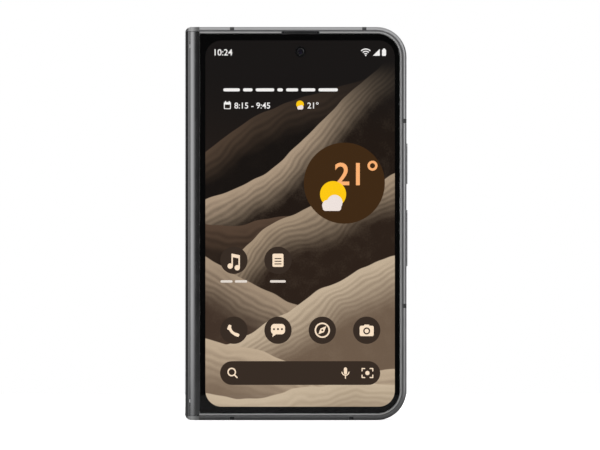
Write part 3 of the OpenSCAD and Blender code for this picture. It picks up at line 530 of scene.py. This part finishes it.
frame_metal = frame_finish()
key_metal = key_finish()
band = metal("polished band metal", tone(160, 160, 161), 0.24, (1, 1, 1), 0.0003)
strip_metal = metal("hinge strip metal", tone(170, 170, 171), 0.17, (1, 1, 12), 0.0003)
spine_metal = metal("spine metal", tone(164, 164, 165), 0.17, (1, 1, 12), 0.0003)
cap_metal = metal("end cap metal", tone(196, 196, 196), 0.36, (1, 1, 1), 0.0003)
tray_metal = metal("tray metal", tone(164, 164, 165), 0.34)
steel = metal("hinge steel", tone(150, 149, 146), 0.32, (1, 1, 5), 0.0008)
dark_steel = metal("hinge dark steel", tone(92, 92, 94), 0.38, (1, 1, 4), 0.0008)
gear_metal = metal("sintered gear metal", tone(134, 124, 104), 0.42, (1, 1, 1), 0.0015)
tin = metal("tinned shield", tone(176, 176, 172), 0.35, (6, 1, 1), 0.0006)
magnet = metal("nickel magnet", tone(150, 150, 148), 0.3, (1, 1, 1), 0.0006)
break_plastic = plastic("antenna break plastic", tone(52, 52, 53), 0.42)
bezel_plastic = plastic("inner bezel plastic", tone(20, 20, 21), 0.55, 0.18, 0.004)
camera_plastic = plastic("camera housing", tone(16, 16, 17), 0.45)
speaker_plastic = plastic("speaker housing", tone(24, 24, 25), 0.5)
inner_screen = gloss("folding display, off", tone(9, 9, 10), 0.09, 0.6)
cover_panel = gloss("cover display, side", tone(12, 12, 13), 0.3)
mask_black = gloss("glass mask", tone(1, 1, 1), 0.5, 0.0, specular_ior_level=0.0)
pane_clear = clear("cover glass", (1, 1, 1, 1))
bar_clear = clear("camera window glass", (0.86, 0.87, 0.88, 1))
window_black = gloss("camera window black", tone(7, 7, 8), 0.03, 0.4)
back_satin = gloss("satin back glass", tone(44, 45, 46), 0.36, 0.0, 0.05, 0.04)


def dress(material, *names):
    """Gives carried-over nodes their finish."""
    for name in names:
        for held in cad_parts[name].material_slots:
            held.material = material


dress(frame_metal, "rear_frame", "front_frame")
dress(band, "camera_bar")
dress(break_plastic, "rear_antenna_breaks", "front_antenna_breaks")
dress(strip_metal, "rear_hinge_strip", "front_hinge_strip")
dress(cap_metal, "rear_hinge_trims", "front_hinge_trims", "spine_end_caps")
dress(spine_metal, "spine_cover")
dress(key_metal, "power_key", "volume_rocker")
dress(tray_metal, "card_tray")
dress(steel, "rear_hinge_arms", "front_hinge_arms", "hinge_pins", "idler_shafts", "rear_screws",
      "front_screws", "torque_washers", "charging_port")
dress(dark_steel, "hinge_brackets", "spine_backbone", "earpiece_grille")
dress(gear_metal, "rear_sync_gears", "front_sync_gears", "rear_idler_gears", "front_idler_gears")
dress(tin, "board_shields", "key_switches", "vibration_motor", "card_reader")
dress(magnet, "rear_magnets", "front_magnets")
dress(bezel_plastic, "rear_inner_bezel", "front_inner_bezel", "hinge_bezel_caps")
dress(camera_plastic, "main_camera", "wide_camera", "telephoto_camera", "cover_camera",
      "inner_camera")
dress(speaker_plastic, "loudspeaker", "earpiece")
dress(inner_screen, "rear_inner_display", "front_inner_display")
dress(cover_panel, "cover_display")


def coil_finish():
    """Copper wound in a flat spiral under a dark film."""
    made = Finish("charging coil", metallic=1.0)
    x, _, z = made.spot().parts()
    reach = ((x - (COIL_X - MID_X)) ** 2 + (z - COIL_Z) ** 2) ** 0.5
    wire = reach.wave(0.7) * 0.5 + 0.5
    made.set("Base Color", wire.blend(tone(70, 42, 28), tone(206, 138, 92)))
    made.set("Roughness", 0.62 - wire * 0.3)
    return made.bump(wire, 0.05).material


def board_finish():
    """Solder mask over copper tracks."""
    made = Finish("circuit board", roughness=0.4)
    x, _, z = made.spot().parts()
    along = (x * (2 * math.pi / 0.9) + made.noise(3, 0) * 3).sine()
    across = (z * (2 * math.pi / 1.1) + made.noise(3, 0, seed=4) * 3).sine()
    track = (along * across).step(0.25, 0.4).clamped()
    made.set("Base Color", track.blend(tone(14, 40, 30), tone(30, 68, 50)))
    made.set("Roughness", 0.46 - track * 0.12)
    return made.bump(track, 0.02).material


def foil_finish():
    """Dark wrap of a battery pouch, with shallow creases."""
    made = Finish("battery wrap", metallic=0.4)
    crease = made.noise(5, 4, (1, 1, 2.5))
    made.set("Base Color", shaded(tone(46, 47, 50), 0.16, crease))
    made.set("Roughness", (0.42 + crease * 0.12).clamped())
    return made.bump(crease, 0.05).material


def flex_finish():
    """Amber film over copper tracks, dark where the cable enters the hinge."""
    made = Finish("flexible cable", roughness=0.3)
    x, _, z = made.spot().parts()
    track = z.wave(0.8).step(-0.1, 0.3)
    inside = (x + MID_X).step(4.6, 6.0)
    film = track.blend(tone(150, 88, 24), tone(206, 134, 62))
    made.set("Base Color", inside.blend(tone(22, 20, 18), film))
    return made.bump(track, 0.01).material


dress(coil_finish(), "charging_coil")
dress(board_finish(), "main_board", "front_board", "port_board")
dress(foil_finish(), "rear_battery", "front_battery")
dress(flex_finish(), "hinge_flex_cables")


# Cover display

def dunes():
    """A generic picture of dune ridges, dark above and sandy below."""
    made = Finish("dune picture", base_color=(0, 0, 0, 1), roughness=0.5, specular_ior_level=0.0,
                  emission_strength=1.0)
    x, _, z = made.spot().parts()
    x = x + MID_X
    sway = made.noise(26, 2, seed=1)
    fine = made.noise(5, 3, seed=6)
    grain = made.noise(0.5, 2, seed=9)
    sky = (z + x * 0.5).step(70, 170)
    picture = sky.blend(tone(34, 27, 23), tone(22, 19, 18))
    # height, slope, swing, pace and start of the crest, its light and dark colours, the pitch of
    # its ripples and how far down its light reaches
    ridges = [
        (88, 0.60, 5, 0.060, 0.3, (82, 66, 53), (22, 17, 14), 3.1, 15),
        (70, 0.76, 4, 0.082, 2.0, (180, 158, 134), (32, 23, 17), 2.6, 17),
        (76, -0.16, 6, 0.070, 4.2, (88, 69, 55), (24, 17, 13), 3.0, 16),
        (46, 0.62, 4, 0.075, 5.2, (172, 151, 127), (44, 32, 24), 2.3, 19),
        (54, -0.18, 5, 0.085, 1.2, (170, 149, 126), (66, 51, 41), 2.7, 20),
        (26, 0.40, 4, 0.070, 3.4, (204, 184, 158), (112, 93, 76), 2.4, 22),
        (27, -0.14, 3, 0.095, 0.2, (198, 177, 151), (124, 105, 87), 2.8, 20),
        (9, 0.07, 2, 0.110, 1.8, (206, 187, 161), (150, 131, 108), 2.2, 16),
    ]
    for rise, slope, swing, pace, start, light, dark, pitch, reach in ridges:
        crest = rise + x * slope + (x * pace + start).sine() * swing + sway * 5
        under = crest - z
        edge = under.step(0.0, 0.35)
        glow = 1 - under.step(0.0, reach)
        bend = x * (0.30 * slope) + sway * 4 + fine * 0.5
        ripple = (under + bend).wave(pitch)
        ripple = (ripple * 0.5 + 0.5) * under.step(0.3, 5.0)
        face = (glow * (0.96 - ripple * 0.34) + fine * 0.07 - grain * 0.05).clamped()
        picture = edge.blend(picture, face.blend(tone(*dark), tone(*light)))
    top = z.step(96, 128)
    picture = top.blend(picture, tone(24, 21, 20))
    return made.set("Emission Color", picture).material


notch = PANE[3] - EAR_DEPTH
pane_corners = [(PANE[0], PANE[2], 0.2), (PANE[1], PANE[2], PANE_R), (PANE[1], PANE[3], PANE_R),
                (EAR_X + EAR_HALF, PANE[3], 0.05), (EAR_X + EAR_HALF - 0.3, notch, 0.3),
                (EAR_X - EAR_HALF + 0.3, notch, 0.3), (EAR_X - EAR_HALF, PANE[3], 0.05),
                (PANE[0], PANE[3], 0.2)]
cover_pane = piece("cover_pane", pane(pane_corners, SEAT + 0.06, GLASS, 0.14), pane_clear,
                   "front_half", FRONT)
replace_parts(cover_pane, "cover_glass")
inset = [(x + (0.04 if x < MID_X else -0.04), z + (0.04 if z < BODY_H / 2 else -0.04), radius)
         for x, z, radius in pane_corners]
piece("cover_mask", holed(shape(inset), [shape(rounded(*SCREEN, SCREEN_R))], SEAT, SEAT + 0.055),
      mask_black, "front_half", FRONT, smooth=False)
piece("cover_picture", holed(shape(within(SCREEN, -0.3, SCREEN_R)),
                             [disc(LENS_X, LENS_Z, LENS_R - 0.02)], SEAT, SEAT + 0.01),
      dunes(), "front_half", FRONT, smooth=False)

white = lit("display white", tone(240, 238, 236))
sand = lit("display sand", tone(250, 226, 198))
brown = lit("display brown", tone(62, 40, 18))
disc_brown = lit("display disc", tone(54, 43, 35))
amber = lit("display amber", tone(252, 178, 116))
yellow = lit("display yellow", tone(253, 200, 16))
cloud_white = lit("display cloud", tone(238, 226, 220))

# Status line with the time, signal fan, signal wedge and battery, and the line of the calendar
# under a row of bars
status = Marks()
status.digits("10:24", 9.9, 129.6, 3.15, 0.035)
for reach in (0.7, 1.5, 2.3):
    status.ring(64.2, 129.55, reach, 0.38, 45, 90)
status.disc(64.2, 129.6, 0.26)
status.poly([(66.7, 129.45, 0.15), (69.2, 129.45, 0.15), (69.2, 131.9, 0.15)])
status.box(70.7, 130.55, 1.45, 2.3, 0.3)
status.box(70.7, 131.85, 0.65, 0.4, 0.1)
status.digits("8:15 - 9:45", 17.45, 110.75, 3.0, 0.03)
status.digits("21°", 43.4, 110.75, 3.0, 0.03)
start = 13.6
for run in (5.9, 3.4, 6.6, 2.0, 4.3, 5.0, 6.9):
    status.box(start + run / 2, 117.35, run, 1.1, 0.55)
    start += run + 1.1
status.box(15.05, 111.75, 2.5, 2.45, 0.35)
for x in (14.4, 15.7):
    status.box(x, 113.1, 0.34, 0.6, 0.1)
status.piece("status_marks", 1, white)
page = Marks().box(15.05, 111.45, 1.85, 1.35, 0.1)
page.piece("calendar_page", 2, lit("display page", tone(32, 25, 21)))
Marks().disc(40.85, 112.2, 1.35).piece("small_sun", 1, yellow)
Marks().disc(40.5, 111.0, 0.62).disc(41.3, 111.15, 0.75).box(40.9, 110.75, 1.9, 0.75, 0.37).piece(
    "small_cloud", 2, cloud_white)

# Weather disc with its number, sun and cloud
Marks().disc(56.6, 84.2, 14.4).piece("weather_disc", 1, brown)
weather = Marks().digits("21", 53.0, 83.6, 11.2, 0.14).ring(66.6, 90.4, 1.35, 0.85)
weather.piece("weather_number", 2, amber)
Marks().disc(52.6, 80.3, 4.65).piece("weather_sun", 2, yellow)
Marks().disc(50.6, 76.3, 1.9).disc(53.2, 77.3, 2.75).box(52.2, 75.4, 6.6, 2.1, 1.04).piece(
    "weather_cloud", 3, cloud_white)

# App discs, their marks and labels, and the search bar
APP_X = 17.37, 33.03, 48.77, 64.54
HIGH_Z, LOW_Z = 56.8, 31.95
SEARCH_X, SEARCH_Z = 40.9, 16.75
MICROPHONE_X, FINDER_X = 57.0, 64.8
discs = Marks()
for x, z in [(x, HIGH_Z) for x in APP_X[:2]] + [(x, LOW_Z) for x in APP_X]:
    discs.disc(x, z, 4.85)
discs.box(SEARCH_X, SEARCH_Z, 56.9, 8.45, 4.22)
discs.piece("app_discs", 1, disc_brown)
marks = Marks()
# a musical note
marks.line(16.75, 54.9, 16.75, 58.9, 0.5).line(19.25, 54.3, 19.25, 58.3, 0.5)
marks.poly([(16.5, 58.0, 0.1), (19.5, 57.4, 0.1), (19.5, 58.6, 0.1), (16.5, 59.2, 0.1)])
marks.disc(16.05, 54.75, 0.95).disc(18.55, 54.15, 0.95)
# a page with lines
marks.box(APP_X[1], HIGH_Z, 3.9, 4.7, 0.55)
# a handset
marks.ring(18.9, 33.45, 3.05, 0.95, 193, 74)
marks.box(15.75, 32.95, 1.15, 1.9, 0.45, 20).box(18.35, 30.35, 1.9, 1.15, 0.45, 20)
# a speech bubble
marks.box(APP_X[1], 32.35, 5.0, 3.7, 1.3)
marks.poly([(31.3, 31.2, 0.1), (33.3, 31.2, 0.1), (31.0, 29.5, 0.15)])
# a compass
marks.ring(APP_X[2], LOW_Z, 2.45, 0.55)
marks.poly([(50.2, 33.4, 0.1), (48.15, 32.6, 0.1), (49.4, 31.3, 0.1)])
marks.poly([(47.35, 30.5, 0.1), (49.4, 31.3, 0.1), (48.15, 32.6, 0.1)])
# a camera
marks.box(APP_X[3], 31.7, 5.0, 3.7, 0.6).box(APP_X[3], 33.5, 1.9, 0.9, 0.25)
# a magnifier, a microphone and a viewfinder
marks.ring(16.6, 17.1, 1.3, 0.46).line(17.55, 16.1, 18.5, 15.15, 0.46)
marks.box(MICROPHONE_X, 17.5, 1.15, 2.5, 0.57).ring(MICROPHONE_X, 17.2, 1.25, 0.36, 180, 180)
marks.line(MICROPHONE_X, 15.9, MICROPHONE_X, 14.9, 0.36)
for side_x, side_z in ((-1, -1), (-1, 1), (1, -1), (1, 1)):
    x, z = FINDER_X + side_x * 1.9, SEARCH_Z + side_z * 1.6
    marks.line(x, z, FINDER_X + side_x * 0.95, z, 0.38)
    marks.line(x, z, x, SEARCH_Z + side_z * 0.75, 0.38)
marks.disc(FINDER_X, SEARCH_Z, 0.75)
marks.piece("app_marks", 2, sand)
holes = Marks()
for z in (55.5, 56.45, 57.4):
    holes.box(APP_X[1], z, 2.5, 0.36, 0.15)
for x in (31.6, APP_X[1], 34.45):
    holes.disc(x, 32.35, 0.36)
holes.disc(APP_X[3], 31.7, 1.25)
holes.disc(APP_X[2], LOW_Z, 0.36)
holes.piece("app_mark_details", 3, disc_brown)
Marks().disc(APP_X[3], 31.7, 0.75).piece("camera_mark_lens", 4, sand)
labels = Marks()
for x, runs in ((12.6, (4.3, 4.4)), (30.2, (5.6,))):
    for run in runs:
        labels.box(x + run / 2, 49.3, run, 0.85, 0.42)
        x += run + 0.8
labels.piece("app_labels", 1, lit("display label", tone(226, 216, 206)))

# Cover camera under its hole in the picture
lens_black = gloss("lens barrel black", tone(4, 4, 4), 0.35)
lens_glass = gloss("coated lens", tone(26, 20, 44), 0.04, 1.0, 0.3, 0.01)
rim_black = gloss("lens ring", tone(20, 20, 21), 0.22)


def dome(radius, foot, rise):
    """The profile of a domed element, for lathe()."""
    turned = [math.radians(15 * step) for step in range(1, 7)]
    curve = [(radius * math.sin(angle), foot + rise * math.cos(angle)) for angle in turned]
    return [(0, foot + rise), *curve, (0, foot)]


def lens(name, x, z, radius, floor, top, body, side):
    """A stepped lens barrel with a domed front element in it."""
    steps = [(radius, floor), (radius, top), (radius * 0.86, top), (radius * 0.84, top - 0.05),
             (radius * 0.7, top - 0.07), (radius * 0.68, top - 0.12), (radius * 0.56, top - 0.14),
             (radius * 0.54, top - 0.2), (0, top - 0.2), (0, floor)]
    piece(name + "_barrel", lathe(steps, x, z), rim_black, body, side)
    piece(name + "_element", lathe(dome(radius * 0.54, top - 0.2, 0.12), x, z), lens_glass, body,
          side)


lens("cover_lens", LENS_X, LENS_Z, 1.9, SEAT - 0.04, SEAT + 0.02, "front_half", FRONT)


# Back glass and the camera bar's window

back = piece("back_pane", pane(rounded(*PANE, PANE_R, 0.2), SEAT, GLASS, 0.14), back_satin,
             "rear_half", REAR)
cutter = piece("bar_cutter", pane(within(BAR, CUT_IN, BAR_R - CUT_IN), SEAT - 1, GLASS + 1, 0),
               back_satin, None)
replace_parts(carve(back, cutter), "back_glass")


def openings(gap=0.0):
    """The camera window's large openings, smaller by a gap all round."""
    half_width, half_height, radius = (size - gap for size in TELE_OPENING)
    return [disc(MAIN_X, BAR_LENS_Z, MAIN_R - gap), disc(WIDE_X, BAR_LENS_Z, WIDE_R - gap),
            disc(FLASH_X, BAR_LENS_Z, FLASH_R - gap),
            shape(around(TELE_X, BAR_LENS_Z, half_width, half_height, radius))]


sensor_x = FLASH_X + 4.6
small_openings = [disc(sensor_x, BAR_LENS_Z + 2.6, 0.35, 24),
                  disc(sensor_x, BAR_LENS_Z - 2.6, 0.55, 24)]
bar_window = piece("camera_window", holed(shape(within(BAR, WINDOW_IN, BAR_R - WINDOW_IN)),
                                          openings() + small_openings, CAMERA_U + 0.04, WINDOW_U),
                   window_black, "rear_half", REAR)
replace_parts(bar_window, "camera_bar_glass")
mask_in = WINDOW_IN + 0.05
piece("camera_window_mask", holed(shape(within(BAR, mask_in, BAR_R - mask_in)), openings(),
                                  CAMERA_U + 0.005, CAMERA_U + 0.03),
      mask_black, "rear_half", REAR, smooth=False)
covers = bmesh.new()
for make in openings(gap=0.02):
    make(covers)
bmesh.ops.translate(covers, vec=(0, WINDOW_U - 0.3, 0), verts=covers.verts)
thicken(covers, 0.27)
piece("camera_covers", covers, bar_clear, "rear_half", REAR)


def barrel(name, x, opening, reach):
    """A round camera's front: polished ring, stepped black baffle and a coated domed element."""
    z = BAR_LENS_Z
    floor = CAMERA_U - 0.39
    profile = [(reach * 0.98, floor), (reach * 0.98, floor + 0.3), (reach * 0.86, floor + 0.3),
               (reach * 0.84, floor + 0.22), (reach * 0.72, floor + 0.2),
               (reach * 0.7, floor + 0.14), (reach * 0.6, floor + 0.12),
               (reach * 0.58, floor + 0.02), (0, floor + 0.02), (0, floor)]
    piece(name + "_baffle", lathe(profile, x, z), lens_black, "rear_half", REAR)
    piece(name + "_element", lathe(dome(reach * 0.58, floor + 0.03, 0.17), x, z), lens_glass,
          "rear_half", REAR)
    low, high = CAMERA_U + 0.002, CAMERA_U + 0.028
    ring = [(opening - 0.35, low), (opening - 0.3, high), (opening - 0.02, high),
            (opening - 0.02, low), (opening - 0.35, low)]
    piece(name + "_ring", lathe(ring, x, z), steel, "rear_half", REAR)


barrel("main_camera", MAIN_X, MAIN_R, 2.6)
barrel("wide_camera", WIDE_X, WIDE_R, 2.15)
piece("telephoto_element", pane(around(TELE_X, BAR_LENS_Z, 2.15, 1.75, 0.55), CAMERA_U - 0.39,
                                CAMERA_U - 0.1, 0.2),
      lens_glass, "rear_half", REAR)


def flash_finish():
    """A clear flash lens with fine rings over a pale yellow lamp."""
    made = Finish("flash lens", coat_weight=1.0, coat_roughness=0.05)
    x, _, z = made.spot().parts()
    reach = ((x + MID_X - FLASH_X) ** 2 + (z - BAR_LENS_Z) ** 2) ** 0.5
    ring = reach.wave(0.32)
    lamp = 1 - reach.step(0.7, 1.0)
    made.set("Base Color", lamp.blend(tone(214, 208, 190), tone(236, 206, 96)))
    made.set("Roughness", 0.25 + ring * 0.08)
    return made.bump(ring, 0.03).material


dress(flash_finish(), "flash")


# Charging port contacts and the dust mesh behind the sound holes

CONTACTS, CONTACT_PITCH = 12, 0.5
contacts = blocks([(PORT_X + (i - (CONTACTS - 1) / 2) * CONTACT_PITCH, PORT_U + row, 2.9)
                   for row in (-0.36, 0.36) for i in range(CONTACTS)], (0.26, 0.03, 3.6))
piece("port_contacts", contacts, metal("contact gold", tone(222, 178, 98), 0.25), "rear_half",
      REAR, smooth=False)


def mesh_finish():
    """Woven dust mesh."""
    made = Finish("dust mesh", metallic=0.6, roughness=0.5)
    x, y, _ = made.spot().parts()
    weave = x.wave(0.14) * y.wave(0.14)
    made.set("Base Color", (weave * 0.5 + 0.5).blend(tone(18, 18, 18), tone(70, 70, 70)))
    return made.bump(weave, 0.02).material


grids = blocks([(PORT_X + side * (SOUND_START + 2 * SOUND_PITCH), 3.15, 3.45) for side in (-1, 1)],
               (11.0, 1.7, 0.12))
piece("sound_mesh", grids, mesh_finish(), "rear_half", REAR, smooth=False)


# Inner camera
lens("inner_lens", INNER_LENS[0], INNER_LENS[1], 1.4, 0.14, 0.19, "rear_half", REAR)


# Folding display over the hinge: two strips, one on each side, laid in the folded rest

AXIS_X, AXIS_Y = 3.125, 1.525           # a half's axis
FLAT_X, REACH, STRIP_REACH = 4.25, 6.95, 5.35
STRIP_T, STRIP_STEPS = 0.3, 44
BEND_Z = 7.2                            # the strips start and end this far from the body's ends


def fold_strip(name, side):
    """The open display from the middle of the spine to one half, laid back to the folded rest.
    """
    begin, end = Vector((FLAT_X, 0.0)), Vector((REACH, 0.4))
    axis, along = Vector((AXIS_X, AXIS_Y)), end - begin

    def folded(s, depth, w):
        flat = Vector((FLAT_X - depth, s)) - axis
        return axis + Matrix.Rotation(-w * math.pi / 2, 2) @ flat

    def settled(s, depth):
        low, high = 0.0, 1.0
        for _ in range(40):
            w = (low + high) / 2
            t = min(1, max(0, (folded(s, depth, w) - begin).dot(along) / along.length_squared))
            if t * t * (3 - 2 * t) > w:
                low = w
            else:
                high = w
        return folded(s, depth, (low + high) / 2)

    steps = [STRIP_REACH * i / STRIP_STEPS for i in range(STRIP_STEPS + 1)]
    loop = [settled(s, 0.0) for s in steps] + [settled(s, STRIP_T) for s in reversed(steps)]
    bm = bmesh.new()
    section = bm.faces.new([bm.verts.new((point.x, point.y, BEND_Z)) for point in loop])
    top = bmesh.ops.extrude_face_region(bm, geom=[section])
    lifted = [part for part in top["geom"] if isinstance(part, bmesh.types.BMVert)]
    bmesh.ops.translate(bm, verts=lifted, vec=(0, 0, BODY_H - 2 * BEND_Z))
    bmesh.ops.recalc_face_normals(bm, faces=bm.faces)
    strip = piece(name, bm, inner_screen, None, side)
    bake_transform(strip)
    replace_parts(strip, "display_bend")


fold_strip("rear_display_fold", REAR)
fold_strip("front_display_fold", FRONT)


# Light and stage

TARGET = (0, 0, 0.07)


def area(name, at, size, power):
    """A softbox turned towards the phone, which neither the camera nor a gloss surface sees."""
    light = bpy.data.lights.new(name, "AREA")
    light.shape = "RECTANGLE"
    light.size, light.size_y = size
    light.energy = power
    lamp = bpy.data.objects.new(name, light)
    lamp.location = at
    lamp.rotation_euler = (Vector(TARGET) - Vector(at)).to_track_quat("-Z", "Y").to_euler()
    lamp.visible_camera = False
    lamp.visible_glossy = False
    bpy.context.scene.collection.objects.link(lamp)


area("left softbox", (-0.75, -0.62, 0.3), (0.30, 0.9), 2.6)
area("right softbox", (0.75, -0.62, 0.3), (0.30, 0.9), 2.6)
area("top softbox", (0.0, -0.1, 1.0), (0.7, 0.5), 3.0)
area("rear left softbox", (-0.6, 0.75, 0.4), (0.35, 0.8), 2.2)
area("rear right softbox", (0.7, 0.6, 0.4), (0.30, 0.8), 2.2)

world = bpy.data.worlds.new("studio")
world.use_nodes = True
bpy.context.scene.world = world
air = Shade(world.node_tree)
eye, glossy, passed = air.node("LightPath", {}, {}).outputs(
    "Is Camera Ray", "Is Glossy Ray", "Is Transmission Ray")
_, across, up = air.node("TexCoord", {}, {}, "Generated").parts()
mirrored = (glossy + passed).clamped()

# What a gloss surface mirrors: a ring of light in front, one behind and a softer light above
front_ring = across.step(-0.955, -0.83) * (1 - across.step(-0.66, 0.08))
rear_ring = across.step(0.62, 0.85) * (1 - across.step(0.93, 0.985))
room = (front_ring + rear_ring).most(up.step(0.25, 0.6) * 0.5)
shown = mirrored * (room + 0.03) + (1 - mirrored) * 0.36
backing = air.tree.nodes["Background"]
backing.inputs["Color"].default_value = (1, 1, 1, 1)
air.tree.links.new((eye + (1 - eye) * shown).socket, backing.inputs["Strength"])

# A white floor that fades into the backing, and that mirrors dark in gloss surfaces
FLOOR_R = 0.6

floor_mesh = bmesh.new()
bmesh.ops.create_circle(floor_mesh, cap_ends=True, radius=FLOOR_R, segments=96)
floor_data = bpy.data.meshes.new("floor")
floor_mesh.to_mesh(floor_data)
floor_mesh.free()
floor = bpy.data.objects.new("floor", floor_data)
bpy.context.scene.collection.objects.link(floor)
ground = Finish("floor white", roughness=0.9, specular_ior_level=0.0, emission_color=(1, 1, 1, 1))
eye, glossy = ground.node("LightPath", {}, {}).outputs("Is Camera Ray", "Is Glossy Ray")
x, y, _ = ground.spot((1, 1, 1)).parts()
away = ((x ** 2 + y ** 2) ** 0.5).step(0.1, 0.45)
ground.set("Emission Strength", eye * (away * 0.5 + 0.5))
ground.set("Base Color", glossy.blend((0.86, 0.86, 0.86, 1), (0.16, 0.16, 0.16, 1)))
floor_data.materials.append(ground.material)

# The photograph's view: its width in pixels, its pixels to the millimetre, and how far its middle
# lies from the phone's left and lower edges in pixels
PICTURE_W, PER_MM = 600, 2.8153
FROM_LEFT, FROM_FOOT = 115, 195.2
DISTANCE, SENSOR = 4.0, 36
camera_data = bpy.data.cameras.new("camera")
camera = bpy.data.objects.new("camera", camera_data)
bpy.context.scene.collection.objects.link(camera)
bpy.context.scene.camera = camera
camera_data.sensor_width = SENSOR
camera_data.lens = SENSOR * DISTANCE / (PICTURE_W / PER_MM * MM)
camera.location = place(FROM_LEFT / PER_MM, -GLASS, FROM_FOOT / PER_MM) - Vector((0, DISTANCE, 0))
camera.rotation_euler = (math.pi / 2, 0, 0)

view = bpy.context.scene.view_settings
view.view_transform = "Standard"
